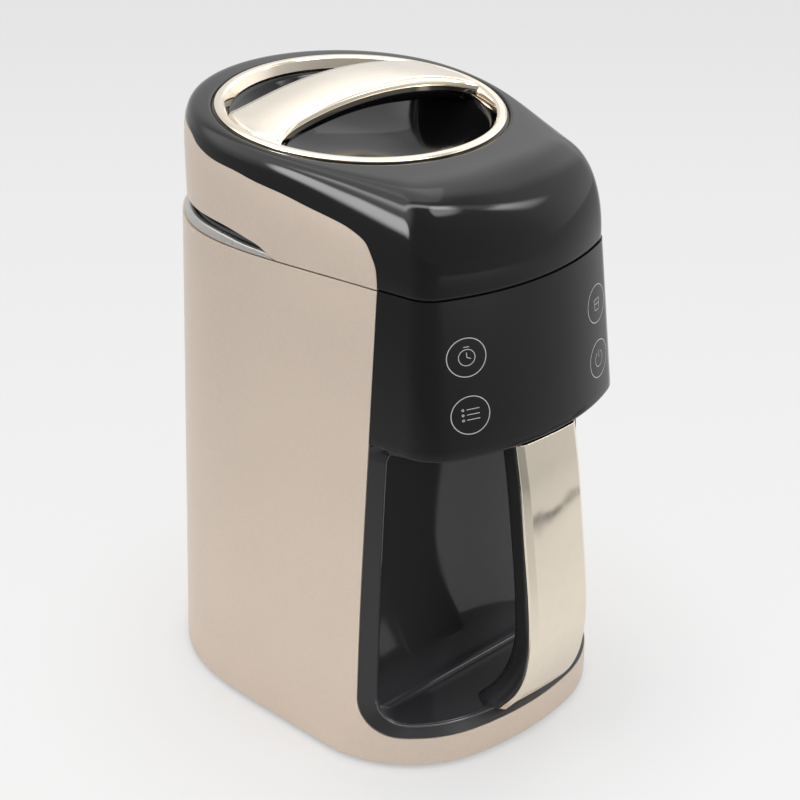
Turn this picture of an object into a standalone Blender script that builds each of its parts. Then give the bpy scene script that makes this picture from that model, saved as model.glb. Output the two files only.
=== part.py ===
"""A countertop soy milk maker: a jug with its handle and controls, and a head that lifts off it.

The jug is a D-shaped painted shell, open at the front where a black well leaves room for the fingers behind
a plated handle. It carries the steel cup, the heater, the boards and the mains inlet. The head is a black
dome with a painted side band, a plated ring and a carry bar over a finger bowl. Under it hang the motor in
its steel housing, the shaft in its sleeve and the blade.

Metres, +Z up, the front faces -Y. Heights are counted from the shell's bottom edge and depths from the
middle of the jug's footprint; the machine empty moves the whole onto its feet, with the origin under the
middle of its box.
"""

import math
from types import SimpleNamespace

import bmesh
import bpy
from mathutils import Euler, Vector

# Clearances and small steps
SEAT_GAP = 0.0003
SHAFT_GAP = 0.0003
OVERRUN = 0.03
JOIN_OVERLAP = 0.001

# Jug shell, plan at its bottom edge
BASE_BACK_RADIUS = 0.0898
BASE_BACK_Y = 0.0234
BASE_FRONT_HALF = 0.0788
BASE_FRONT_REACH = 0.1127
BASE_FRONT_RADIUS = 0.164
BASE_CORNER_RADIUS = 0.064

# Jug shell, plan at the parting line with the head
TOP_BACK_RADIUS = 0.0835
TOP_BACK_Y = 0.0178
TOP_FRONT_HALF = 0.0558
TOP_FRONT_REACH = 0.1094
TOP_FRONT_RADIUS = 0.126
TOP_CORNER_RADIUS = 0.0167

# The head's back at the parting line
HEAD_BACK_RADIUS = 0.0829
HEAD_BACK_Y = 0.0152

PARTING_Z = 0.2485
SEAM = 0.0006
SHELL_WALL = 0.0024
SHELL_EDGE_ROUND = 0.0008
WINDOW_EDGE_Y = -0.0703
BAND_TOP_Z = 0.0158
WINDOW_CORNER_RADIUS = 0.02

# Control panel, which leans out towards its lower edge
PANEL_BOTTOM_Z = 0.1729
PANEL_FRONT_HALF = 0.061
PANEL_FRONT_REACH = 0.1188
PANEL_FRONT_RADIUS = 0.13
PANEL_CORNER_RADIUS = 0.023
PANEL_WALL = 0.0024
PANEL_FLOOR = 0.0024

# Touch keys and what is behind them
KEY_SPREAD = 0.0854
KEY_UPPER_Z = 0.2216
KEY_LOWER_Z = 0.1943
TOUCH_PAD_RADIUS = 0.006
TOUCH_PAD_LENGTH = 0.0032
TOUCH_BOARD_WIDTH = 0.098
TOUCH_BOARD_THICKNESS = 0.0016
TOUCH_BOARD_MARGIN = 0.0105
TOUCH_PAD_CLEARANCE = 0.0002952
DISPLAY_WIDTH = 0.044
DISPLAY_HEIGHT = 0.025
DISPLAY_DEPTH = 0.0112

# Well behind the handle
LINER_STEP = 0.0004
LINER_FIT = 0.0007
MOUTH_EDGE_Y = -0.0762
MOUTH_BEVEL = 0.0045
MOUTH_TOP_Z = 0.169
MOUTH_CORNER_RADIUS = 0.014
WELL_BACK_REACH = 0.0735
WELL_FLOOR_Z = 0.0202
WELL_FILLET = 0.01
LINER_BACK_WALL = 0.003
LINER_FLANGE = 0.004

# Handle
HANDLE_BULGE_STEP = 0.0134
HANDLE_BULGE_REACH = PANEL_FRONT_REACH + HANDLE_BULGE_STEP
HANDLE_FOOT_SETBACK = 0.0002
HANDLE_FOOT_REACH = BASE_FRONT_REACH - HANDLE_FOOT_SETBACK
HANDLE_DEPTH = 0.016
HANDLE_WIDTH = 0.0392
STRIP_FACE_WIDTH = 0.033
STRIP_FACET_DEPTH = 0.0022
STRIP_CROWN = 0.0006
STRIP_THICKNESS = 0.0016
CORE_CORNER = 0.006
CORE_FOOT_FLARE = 0.0015
# Height share from foot to top, and share of the way from the foot's reach to the bulge's
HANDLE_FRONT_SHARES = ((0, 0), (0.096, 0.559), (0.177, 0.839), (0.257, 0.9645), (0.3445, 1), (0.479, 0.9155),
                       (0.647, 0.737), (0.848, 0.5125), (1, 0.2795))
# Height share, and share of the handle's depth
HANDLE_DEPTH_SHARES = ((0, 1.2), (0.1, 1.15), (0.18, 1.12), (0.27, 1.04), (0.34, 1.01), (0.43, 1), (0.6, 0.97),
                       (0.8, 0.97), (1, 0.95))

# Jug rim and its pouring lip
RIM_DECK_Z = 0.2446
RIM_DECK_THICKNESS = 0.0022
RIM_WALL = 0.0016
LIP_STEP = 0.0008
LIP_WALL = 0.0024
LIP_TOP_Z = 0.2532
# How far the lip stands above the parting line at each depth, from its front end back
LIP_RISES = ((-0.0125, -0.0003), (-0.0085, 0.0022), (-0.0034, 0.0027), (0.0039, 0.003), (0.0112, 0.0035),
             (0.0185, 0.0042), (0.0295, 0.0047))

# Steel cup
CUP_Y = 0.014
CUP_RADIUS = 0.06
CUP_WALL = 0.001
CUP_BOTTOM_Z = 0.045
CUP_BOTTOM_FILLET = 0.02
CUP_FLANGE = 0.0045
CUP_FLANGE_Z = 0.2466
GASKET_WIDTH = 0.003

# Heater under the cup
HEATER_RADIUS = 0.042
HEATER_THICKNESS = 0.0047
TUBE_RING_RADIUS = 0.03
TUBE_RADIUS = 0.0035
TUBE_SWEEP = math.radians(300)
CUTOUT_RADIUS = 0.008
CUTOUT_HEIGHT = 0.0087

# Base cover, feet and screws
COVER_STEP = 0.0012
COVER_ROUND = 0.0008
COVER_DROP = 0.0012
COVER_FLOOR = 0.0024
COVER_RIM_TOP_Z = 0.003
COVER_RIM_WALL = 0.0025
FOOT_DROP = 0.0025
FOOT_RADIUS = 0.007
FOOT_RECESS = 0.001
FOOT_FRONT_INSET = 0.0208
FOOT_FRONT_SETBACK = 0.0447
FOOT_BACK_INSET = 0.0338
FOOT_BACK_RISE = 0.0386
BOSS_RADIUS = 0.0045
BOSS_TOP_Z = 0.017
BOSS_FRONT_INSET = 0.0388
BOSS_FRONT_SETBACK = 0.0327
BOSS_BACK_ANGLE = math.radians(30)
SCREW_HEAD_RADIUS = 0.003
SCREW_HEAD_HEIGHT = 0.002
SCREW_SHANK_RADIUS = 0.0015
SCREW_TIP_Z = 0.014

# Power board
BOARD_WIDTH = 0.1
BOARD_DEPTH = 0.066
BOARD_THICKNESS = 0.0016
BOARD_Y = 0.026
BOARD_Z = 0.0087
POST_RADIUS = 0.0025
POST_MARGIN = 0.005
TRANSFORMER_SIZE = (0.03, 0.026, 0.018)
TRANSFORMER_X = -0.026
TRANSFORMER_Y = 0.022
RELAY_SIZE = (0.019, 0.016, 0.015)
RELAY_X = 0.028
RELAY_Y = 0.03

# Mains inlet, low at the back
INLET_MOUTH_WIDTH = 0.0246
INLET_MOUTH_HEIGHT = 0.0186
INLET_MOUTH_DEPTH = 0.0175
INLET_WALL = 0.003
INLET_Z = 0.028
INLET_RECESS = 0.0006
PIN_THICKNESS = 0.002
PIN_HEIGHT = 0.004
PIN_LENGTH = 0.0155
PIN_PITCH = 0.007
PIN_EARTH_RISE = 0.004

# Coupler between jug and head
COUPLER_WIDTH = 0.032
COUPLER_DEPTH = 0.018
COUPLER_REACH = 0.082
COUPLER_SOCKET_TOP_Z = 0.2455
COUPLER_SOCKET_HEIGHT = 0.0115
COUPLER_PLUG_HEIGHT = 0.0029
BLADE_CONTACT_WIDTH = 0.006
BLADE_CONTACT_THICKNESS = 0.0016
BLADE_CONTACT_LENGTH = 0.008
BLADE_CONTACT_PITCH = 0.009

# Ring and dome of the head
RING_RADIUS = 0.0698
RING_Y = 0.0116
RING_Z = 0.2992
RING_TILT = math.radians(3.7)
RING_WIDTH = 0.0048
RING_CROWN = 0.0009
RING_FLANGE = 0.0032
RING_SKIRT = 0.009
RING_SKIRT_WALL = 0.0016
RING_EDGE = 0.0011
DOME_EDGE_RADIUS = 0.072
DOME_EDGE_DROP = 0.0004
DOME_WALL = 0.0028
DOME_STEP = 0.0005
HEAD_BOTTOM_Z = 0.2488
# Section of the dome by direction, counted from the front
DOME_ANGLES = (0, 42, 85, 180)
DOME_RUN_POWERS = (3.2, 5.2, 3.1, 8)
DOME_RISE_POWERS = (2, 2, 4.4, 12)
DOME_LEVELS = (0, 12, 30, 46, 60, 72, 82, 90)

# Painted side band of the head
HEAD_BAND_WALL = 0.0016
HEAD_BAND_FRONT_Y = -0.07
HEAD_BAND_FRONT_TOP_Z = 0.2755
HEAD_BAND_SIDE_Y = 0.009
HEAD_BAND_SIDE_TOP_Z = 0.286
HEAD_BAND_BACK_Y = 0.1
HEAD_BAND_BACK_TOP_Z = 0.296
HEAD_BAND_CORNER = 0.018
SLIT_TOP_Z = 0.2585
# How far the head's lower edge stands above the parting line at each depth, from the slit's front end back
SLIT_RISES = ((-0.0145, 0), (-0.0107, 0.0019), (-0.007, 0.0041), (-0.0034, 0.0056), (0.0039, 0.0073),
              (0.0112, 0.0087), (0.0185, 0.0096), (0.0295, 0.01))

# Finger bowl and carry bar
BOWL_DEPTH = 0.03
BOWL_WALL = 0.003
BOWL_FLANGE_RADIUS = 0.0708
BOWL_FLANGE_THICKNESS = 0.0024
BOWL_COLLAR_WALL = 0.0024
BAR_FRONT = 0.0095
BAR_BACK = 0.0234
BAR_FRONT_FLARE = 0.011
BAR_BACK_FLARE = 0.003
BAR_RISE = 0.0105
BAR_CROWN = 0.0012
BAR_THICKNESS = 0.0055
BAR_BEVEL = 0.0022
GRIP_DEPTH = 0.009
GRIP_END_DEPTH = 0.0036
GRIP_STEP = 0.002
GRIP_END_GAP = 0.003

# Head base with its sealing neck
HEAD_BASE_Z = 0.2492
HEAD_BASE_FLOOR = 0.0024
HEAD_BASE_RIM = 0.002
HEAD_BASE_CLEARANCE = 0.001
HEAD_BASE_HEIGHT = 0.0048
NECK_RADIUS = 0.0575
NECK_WALL = 0.0025
NECK_BOTTOM_Z = 0.236
SEAL_HEIGHT = 0.004
SEAL_Z = 0.238

# Motor
HOUSING_RADIUS = 0.044
HOUSING_WALL = 0.0012
HOUSING_BOTTOM_Z = 0.192
HOUSING_FLANGE = 0.006
DAMPER_HEIGHT = 0.006
DAMPER_BORE = 0.013
STATOR_SIDE = 0.056
STATOR_HEIGHT = 0.034
STATOR_CORNER = 0.006
ROTOR_RADIUS = 0.0165
ROTOR_AIR_GAP = 0.0008
COMMUTATOR_RADIUS = 0.009
COMMUTATOR_HEIGHT = 0.006
BRACKET_THICKNESS = 0.003
BRACKET_RADIUS = 0.038
BEARING_RADIUS = 0.0095
BEARING_HEIGHT = 0.0055
FAN_RADIUS = 0.034
FAN_HEIGHT = 0.006
FAN_HUB_RADIUS = 0.008
FAN_BLADES = 7
FAN_BLADE_THICKNESS = 0.0014
FAN_CLEARANCE = 0.002

# Shaft, sleeve and blade
SHAFT_RADIUS = 0.004
SHAFT_BOTTOM_Z = 0.067
SHAFT_TOP_REACH = 0.002
SHAFT_SEAL_RADIUS = 0.01
SHAFT_SEAL_HEIGHT = 0.004
SLEEVE_RADIUS = 0.007
SLEEVE_WALL = 0.0012
SLEEVE_FLANGE_RADIUS = 0.016
SLEEVE_BOTTOM_Z = 0.084
SLEEVE_CUP_HEIGHT = 0.0055
BUSH_HEIGHT = 0.009
BLADE_HUB_RADIUS = 0.0075
BLADE_HUB_HEIGHT = 0.003
BLADE_GAP = 0.0025
BLADE_SPAN = 0.048
BLADE_WIDTH = 0.009
BLADE_THICKNESS = 0.0013
BLADE_TIP_DROP = 0.006
NUT_RADIUS = 0.0068
NUT_HEIGHT = 0.005

# Probes
PROBE_RADIUS = 0.0025
PROBE_RING_RADIUS = 0.0497
OVERFLOW_PROBE_LENGTH = 0.05
OVERFLOW_PROBE_ANGLE = math.radians(-112)
TEMPERATURE_PROBE_LENGTH = 0.1
TEMPERATURE_PROBE_ANGLE = math.radians(-68)

# Steps round the curves
BACK_STEPS = 8
SIDE_STEPS = 4
CORNER_STEPS = 5
FRONT_STEPS = 4
ARC_STEPS = 4
LARGE_TURN = 32
SMALL_TURN = 12

PAINTED = ("champagne_paint", (0.56, 0.46, 0.38), 0.38, 0.6)
GLOSS_BLACK = ("gloss_black", (0.012, 0.012, 0.014), 0.08, 0.0)
DARK_FRAME = ("dark_frame", (0.03, 0.03, 0.032), 0.25, 0.0)
PLATED = ("plated_gold", (0.83, 0.68, 0.48), 0.08, 1.0)
SILVER = ("silver_paint", (0.5, 0.5, 0.48), 0.35, 0.5)
STEEL = ("steel", (0.6, 0.6, 0.6), 0.25, 1.0)
ALUMINIUM = ("cast_aluminium", (0.55, 0.56, 0.57), 0.45, 1.0)
RUBBER = ("black_rubber", (0.02, 0.02, 0.02), 0.8, 0.0)
SILICONE = ("white_silicone", (0.75, 0.75, 0.73), 0.6, 0.0)
BLACK_PLASTIC = ("black_plastic", (0.03, 0.03, 0.03), 0.5, 0.0)
BOARD_GREEN = ("board_green", (0.03, 0.16, 0.07), 0.45, 0.0)
COPPER = ("copper", (0.72, 0.38, 0.24), 0.35, 1.0)
BRASS = ("brass", (0.72, 0.55, 0.28), 0.3, 1.0)


def clear_scene():
    for obj in list(bpy.data.objects):
        bpy.data.objects.remove(obj)


def finish(look):
    """The material of a finish, made once."""
    name, colour, roughness, metallic = look
    material = bpy.data.materials.get(name)
    if material is None:
        material = bpy.data.materials.new(name)
        material.use_nodes = True
        shader = material.node_tree.nodes["Principled BSDF"]
        shader.inputs["Base Color"].default_value = (*colour, 1.0)
        shader.inputs["Roughness"].default_value = roughness
        shader.inputs["Metallic"].default_value = metallic
    return material


def empty(name, parent=None, location=(0, 0, 0)):
    holder = bpy.data.objects.new(name, None)
    holder.location = location
    holder.parent = parent
    bpy.context.scene.collection.objects.link(holder)
    return holder


def add(name, mesh, look, parent, location=(0, 0, 0), rotation=(0, 0, 0)):
    """Puts a mesh into the scene as one named piece."""
    piece = bpy.data.objects.new(name, mesh)
    piece.location = location
    piece.rotation_euler = Euler(rotation)
    piece.parent = parent
    bpy.context.scene.collection.objects.link(piece)
    if look is not None:
        mesh.materials.append(finish(look))
        mesh.shade_smooth()
        mesh.set_sharp_from_angle(angle=math.radians(35))
    return piece


def helper(name, mesh, parent, location=(0, 0, 0), rotation=(0, 0, 0)):
    """A cutter or a shape to be joined, which isn't a piece itself."""
    guide = add(name, mesh, None, parent, location, rotation)
    guide.hide_render = True
    guide.display_type = "WIRE"
    return guide


def combine(piece, operation, other):
    step = piece.modifiers.new(other.name, "BOOLEAN")
    step.operation = operation
    step.solver = "EXACT"
    step.object = other


def cut(piece, *cutters):
    for cutter in cutters:
        combine(piece, "DIFFERENCE", cutter)


def join(piece, *others):
    for other in others:
        combine(piece, "UNION", other)


def keep_inside(piece, bounds):
    combine(piece, "INTERSECT", bounds)


def mesh_of(shape, name="shape"):
    bmesh.ops.recalc_face_normals(shape, faces=shape.faces)
    mesh = bpy.data.meshes.new(name)
    shape.to_mesh(mesh)
    shape.free()
    return mesh


def skin_rows(shape, rows, loop):
    """Faces between rows of vertices; a row of one vertex is a pole."""
    pairs = list(zip(rows, rows[1:]))
    if loop:
        pairs.append((rows[-1], rows[0]))
    for low, high in pairs:
        count = max(len(low), len(high))
        for i in range(count):
            j = (i + 1) % count
            corners = [low[i % len(low)], low[j % len(low)], high[j % len(high)], high[i % len(high)]]
            shape.faces.new(list(dict.fromkeys(corners)))


def loft(rings, loop=False):
    """A skin through rings of points, with flat ends, or closed round on itself."""
    shape = bmesh.new()
    rows = [[shape.verts.new(point) for point in ring] for ring in rings]
    skin_rows(shape, rows, loop)
    if not loop:
        shape.faces.new(rows[0])
        shape.faces.new(rows[-1])
    return mesh_of(shape)


def turned(profile, segments=SMALL_TURN, centres=((0, 0, 0),)):
    """A profile of (radius, height) turned about +Z, once at each centre. It is closed by its poles or by itself."""
    shape = bmesh.new()
    for centre in centres:
        rows = []
        for radius, height in profile:
            turns = segments if radius else 1
            angles = [2 * math.pi * i / turns for i in range(turns)]
            ring = [Vector((radius * math.cos(a), radius * math.sin(a), height)) for a in angles]
            rows.append([shape.verts.new(Vector(centre) + point) for point in ring])
        skin_rows(shape, rows, loop=bool(profile[0][0]))
    return mesh_of(shape)


def rod(radius, low, high):
    return [(0, low), (radius, low), (radius, high), (0, high)]


def tube(inner, outer, low, high):
    return [(inner, low), (outer, low), (outer, high), (inner, high)]


def block(size, centre):
    shape = bmesh.new()
    bmesh.ops.create_cube(shape, size=1)
    bmesh.ops.scale(shape, vec=size, verts=shape.verts)
    bmesh.ops.translate(shape, vec=centre, verts=shape.verts)
    return mesh_of(shape)


def span_block(low, high):
    """A block between two opposite corners."""
    low, high = Vector(low), Vector(high)
    return block(high - low, (low + high) / 2)


def prism_x(outline, half_width):
    """An outline of (y, z) points, drawn out along X both ways."""
    return loft([[(x, y, z) for y, z in outline] for x in (-half_width, half_width)])


def lerp(a, b, share):
    return a + (b - a) * share


def smooth(share):
    share = min(max(share, 0), 1)
    return share * share * (3 - 2 * share)


def through(shares, at):
    """Reads a smooth curve through (place, value) pairs."""
    places = [place for place, _ in shares]
    last = len(shares) - 2
    k = min(max(sum(place <= at for place in places) - 1, 0), last)
    a, b = shares[k], shares[k + 1]
    before, after = shares[max(k - 1, 0)], shares[min(k + 2, last + 1)]
    t = (at - a[0]) / (b[0] - a[0])
    slope_a = (b[1] - before[1]) / (b[0] - before[0]) * (b[0] - a[0])
    slope_b = (after[1] - a[1]) / (after[0] - a[0]) * (b[0] - a[0])
    return ((2 * t**3 - 3 * t**2 + 1) * a[1] + (t**3 - 2 * t**2 + t) * slope_a
            + (3 * t**2 - 2 * t**3) * b[1] + (t**3 - t**2) * slope_b)


BASE_PLAN = SimpleNamespace(
    back_radius=BASE_BACK_RADIUS, back_y=BASE_BACK_Y, front_half=BASE_FRONT_HALF,
    front_y=-BASE_FRONT_REACH, front_radius=BASE_FRONT_RADIUS, corner=BASE_CORNER_RADIUS)
TOP_PLAN = SimpleNamespace(
    back_radius=TOP_BACK_RADIUS, back_y=TOP_BACK_Y, front_half=TOP_FRONT_HALF,
    front_y=-TOP_FRONT_REACH, front_radius=TOP_FRONT_RADIUS, corner=TOP_CORNER_RADIUS)


HEAD_PLAN = SimpleNamespace(
    back_radius=HEAD_BACK_RADIUS, back_y=HEAD_BACK_Y, front_half=TOP_FRONT_HALF,
    front_y=-TOP_FRONT_REACH, front_radius=TOP_FRONT_RADIUS, corner=TOP_CORNER_RADIUS)


def mixed_plan(first, second, share):
    pairs = zip(vars(first).items(), vars(second).values())
    return SimpleNamespace(**{name: lerp(a, b, share) for (name, a), b in pairs})


def body_plan(z):
    return mixed_plan(BASE_PLAN, TOP_PLAN, min(max(z / PARTING_Z, 0), 1))


def panel_plan(z):
    """The plan of the control panel, which stands out from the body towards its lower edge."""
    low = body_plan(PANEL_BOTTOM_Z)
    low.front_half = PANEL_FRONT_HALF
    low.front_y = -PANEL_FRONT_REACH
    low.front_radius = PANEL_FRONT_RADIUS
    low.corner = PANEL_CORNER_RADIUS
    return mixed_plan(low, TOP_PLAN, (z - PANEL_BOTTOM_Z) / (PARTING_Z - PANEL_BOTTOM_Z))


def arc(centre, radius, first, last, steps):
    """Points round an arc after its first, angles in radians."""
    angles = [lerp(first, last, i / steps) for i in range(1, steps + 1)]
    return [centre + radius * Vector((math.cos(a), math.sin(a))) for a in angles]


def plan_outline(plan, inset=0.0):
    """The D-shaped outline: a half round back, straight sides, round corners and a bowed front."""
    start = Vector((plan.back_radius, plan.back_y))
    along = (Vector((plan.front_half, plan.front_y)) - start).normalized()
    inward = Vector((along.y, -along.x))
    front_centre = Vector((0, plan.front_y + plan.front_radius))
    reach = start + inward * plan.corner - front_centre
    slack = reach.dot(along) ** 2 - reach.length_squared + (plan.front_radius - plan.corner) ** 2
    corner_centre = front_centre + reach + along * (math.sqrt(max(slack, 0)) - reach.dot(along))
    side_end = corner_centre - inward * plan.corner
    towards = corner_centre - front_centre
    first = math.atan2(-inward.y, -inward.x)
    last = math.atan2(towards.y, towards.x)
    half = [Vector((0, plan.back_y + plan.back_radius))]
    half += arc(Vector((0, plan.back_y)), plan.back_radius, math.pi / 2, 0, BACK_STEPS)
    half += [start.lerp(side_end, i / SIDE_STEPS) for i in range(1, SIDE_STEPS + 1)]
    half += arc(corner_centre, plan.corner, first, last, CORNER_STEPS)
    half += arc(front_centre, plan.front_radius, last, -math.pi / 2, FRONT_STEPS)
    outline = half + [Vector((-p.x, p.y)) for p in reversed(half[1:-1])]
    return inset_outline(outline, inset)


def inset_outline(outline, inset):
    """Moves each point of a clockwise outline inwards, square to its neighbours."""
    moved = []
    for i, point in enumerate(outline):
        run = (outline[(i + 1) % len(outline)] - outline[i - 1]).normalized()
        moved.append(point + Vector((run.y, -run.x)) * inset)
    return moved


def ring_at(outline, z):
    return [(p.x, p.y, z) for p in outline]


def body_ring(z, inset):
    return ring_at(plan_outline(body_plan(z), inset), z)


def levels(low, high, count):
    return [lerp(low, high, i / (count - 1)) for i in range(count)]


def window_outline(edge_y, floor_z, corner, top_z):
    """The side view of a front window: everything before edge_y and above floor_z, round in its corner."""
    front = -(HANDLE_BULGE_REACH + OVERRUN)
    centre = Vector((edge_y - corner, floor_z + corner))
    bend = [Vector((edge_y - corner, floor_z))] + arc(centre, corner, -math.pi / 2, 0, 2 * ARC_STEPS)
    return [(front, floor_z), *[(p.x, p.y) for p in bend], (edge_y, top_z), (front, top_z)]


def jug_shell(jug, holes):
    """The painted shell round the sides and the back, with the band under the well."""
    top = PARTING_Z - SEAM / 2
    heights = levels(SHELL_EDGE_ROUND, top, ARC_STEPS)
    outer = [body_ring(0, SHELL_EDGE_ROUND)] + [body_ring(z, 0) for z in heights]
    inner = [body_ring(z, SHELL_WALL) for z in reversed(levels(0, top, ARC_STEPS))]
    shell = add("jug_shell", loft(outer + inner, loop=True), PAINTED, jug)
    side = BASE_BACK_RADIUS + OVERRUN
    window = window_outline(WINDOW_EDGE_Y, BAND_TOP_Z, WINDOW_CORNER_RADIUS, PARTING_Z + OVERRUN)
    cut(shell, helper("shell_window", prism_x(window, side), jug))
    join(shell, helper("shell_bosses", bosses(back_boss_places()), jug))
    cut(shell, helper("inlet_hole", inlet_block(SEAT_GAP, OVERRUN), jug), holes)


def back_boss_places():
    spread = BASE_BACK_RADIUS - SHELL_WALL - BOSS_RADIUS + JOIN_OVERLAP
    y = BASE_BACK_Y + spread * math.sin(BOSS_BACK_ANGLE)
    x = spread * math.cos(BOSS_BACK_ANGLE)
    return [(-x, y, 0), (x, y, 0)]


def front_boss_places():
    x = BASE_FRONT_HALF - BOSS_FRONT_INSET
    y = BOSS_FRONT_SETBACK - BASE_FRONT_REACH
    return [(-x, y, 0), (x, y, 0)]


def bosses(places):
    return turned(rod(BOSS_RADIUS, COVER_RIM_TOP_Z + SEAT_GAP, BOSS_TOP_Z), SMALL_TURN, places)


def foot_places():
    front = (BASE_FRONT_HALF - FOOT_FRONT_INSET, FOOT_FRONT_SETBACK - BASE_FRONT_REACH)
    back = (BASE_BACK_RADIUS - FOOT_BACK_INSET, BASE_BACK_Y + FOOT_BACK_RISE)
    places = [front, back]
    return [(side * x, y, 0) for x, y in places for side in (-1, 1)]


def board_post_places():
    x = BOARD_WIDTH / 2 - POST_MARGIN
    y = BOARD_DEPTH / 2 - POST_MARGIN
    return [(i * x, BOARD_Y + j * y, 0) for i in (-1, 1) for j in (-1, 1)]


def screw_places():
    return front_boss_places() + back_boss_places()


def screw_holes(jug):
    """Clearance for the base screws, through the cover and into the bosses."""
    seat = SCREW_HEAD_HEIGHT - COVER_DROP + SEAT_GAP
    profile = [(0, -OVERRUN), (SCREW_HEAD_RADIUS + SEAT_GAP, -OVERRUN), (SCREW_HEAD_RADIUS + SEAT_GAP, seat),
               (SCREW_SHANK_RADIUS + SEAT_GAP, seat), (SCREW_SHANK_RADIUS + SEAT_GAP, SCREW_TIP_Z + SEAT_GAP),
               (0, SCREW_TIP_Z + SEAT_GAP)]
    return helper("screw_holes", turned(profile, SMALL_TURN, screw_places()), jug)


def base_cover(jug, holes):
    """The black pan under the shell, with its screw seats and the posts of the power board."""
    inner_step = SHELL_WALL + SEAT_GAP
    floor_top = COVER_FLOOR - COVER_DROP
    tray = [
        body_ring(-COVER_DROP, COVER_STEP + COVER_ROUND), body_ring(-COVER_DROP + COVER_ROUND / 2, COVER_STEP),
        body_ring(-SEAT_GAP, COVER_STEP), body_ring(-SEAT_GAP, inner_step), body_ring(COVER_RIM_TOP_Z, inner_step),
        body_ring(COVER_RIM_TOP_Z, inner_step + COVER_RIM_WALL), body_ring(floor_top, inner_step + COVER_RIM_WALL)]
    cover = add("base_cover", loft(tray), BLACK_PLASTIC, jug)
    seats = rod(BOSS_RADIUS, floor_top - JOIN_OVERLAP, COVER_RIM_TOP_Z)
    posts = rod(POST_RADIUS, floor_top - JOIN_OVERLAP, BOARD_Z - SEAT_GAP)
    screw_seats = helper("screw_seats", turned(seats, SMALL_TURN, screw_places()), jug)
    within = loft([body_ring(z, inner_step) for z in (-OVERRUN, OVERRUN)])
    keep_inside(screw_seats, helper("screw_seat_bounds", within, jug))
    join(cover, screw_seats)
    join(cover, helper("board_posts", turned(posts, SMALL_TURN, board_post_places()), jug))
    recess = rod(FOOT_RADIUS + SEAT_GAP, -COVER_DROP - OVERRUN, FOOT_RECESS - COVER_DROP)
    cut(cover, holes, helper("foot_recesses", turned(recess, SMALL_TURN, foot_places()), jug))


def feet_and_screws(jug):
    top = FOOT_RECESS - COVER_DROP - SEAT_GAP
    foot = turned([(0, -FOOT_DROP), (FOOT_RADIUS - FOOT_RECESS, -FOOT_DROP), (FOOT_RADIUS, top), (0, top)])
    for number, place in enumerate(foot_places(), 1):
        add(f"foot_{number}", foot.copy(), RUBBER, jug, place)
    seat = SCREW_HEAD_HEIGHT - COVER_DROP
    screw = turned([(0, -COVER_DROP), (SCREW_HEAD_RADIUS, -COVER_DROP), (SCREW_HEAD_RADIUS, seat),
                    (SCREW_SHANK_RADIUS, seat), (SCREW_SHANK_RADIUS, SCREW_TIP_Z), (0, SCREW_TIP_Z)])
    for number, place in enumerate(screw_places(), 1):
        add(f"base_screw_{number}", screw.copy(), STEEL, jug, place)


def corner_edge_y(z, edge_y, floor_z, corner):
    """The depth of a window's edge at height z, with its round lower corner."""
    drop = min(max(floor_z + corner - z, 0), corner)
    return edge_y - corner + math.sqrt(corner**2 - drop**2)


def surface_x(z, y, inset):
    """The half width, at height z and depth y, of the body taken in by inset."""
    side = [p for p in plan_outline(body_plan(z), inset) if p.x >= 0]
    for a, b in zip(side, side[1:]):
        if a.y >= y >= b.y:
            return lerp(a.x, b.x, (a.y - y) / (a.y - b.y))
    return 0


def frame_section(z):
    """The liner cut level at height z: bevels at the sides, the scooped back wall, and flanges behind the shell."""
    edge = corner_edge_y(z, WINDOW_EDGE_Y, BAND_TOP_Z, WINDOW_CORNER_RADIUS) - SEAT_GAP
    mouth = corner_edge_y(z, MOUTH_EDGE_Y, WELL_FLOOR_Z, MOUTH_CORNER_RADIUS)
    fillet = corner_edge_y(z, 0, WELL_FLOOR_Z, WELL_FILLET)
    half = surface_x(z, mouth, MOUTH_BEVEL)
    outer = surface_x(z, edge, LINER_STEP)
    tucked = SHELL_WALL + LINER_FIT
    flange = edge + LINER_FLANGE
    back = fillet - WELL_BACK_REACH
    shares = levels(-1, 1, 2 * ARC_STEPS + 1)
    scoop = [(half * s, lerp(back, mouth, s**2)) for s in shares]
    rear = [(half * s, lerp(back, mouth, s**2) + LINER_BACK_WALL) for s in reversed(shares)]
    low_x, high_x = surface_x(z, edge, tucked), surface_x(z, flange, tucked)
    right = [(outer, edge), (low_x, edge), (high_x, flange), (high_x - LINER_BACK_WALL, flange)]
    left = [(-x, y) for x, y in reversed(right)]
    return [(x, y, z) for x, y in scoop + right + rear + left]


def liner_slab(name, jug, low, high, low_inset, high_inset, bounds):
    """A level slab of the liner between two heights, kept inside bounds."""
    slab = helper(name, loft([body_ring(low, low_inset), body_ring(high, high_inset)]), jug)
    keep_inside(slab, helper(name + "_bounds", bounds, jug))
    return slab


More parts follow.
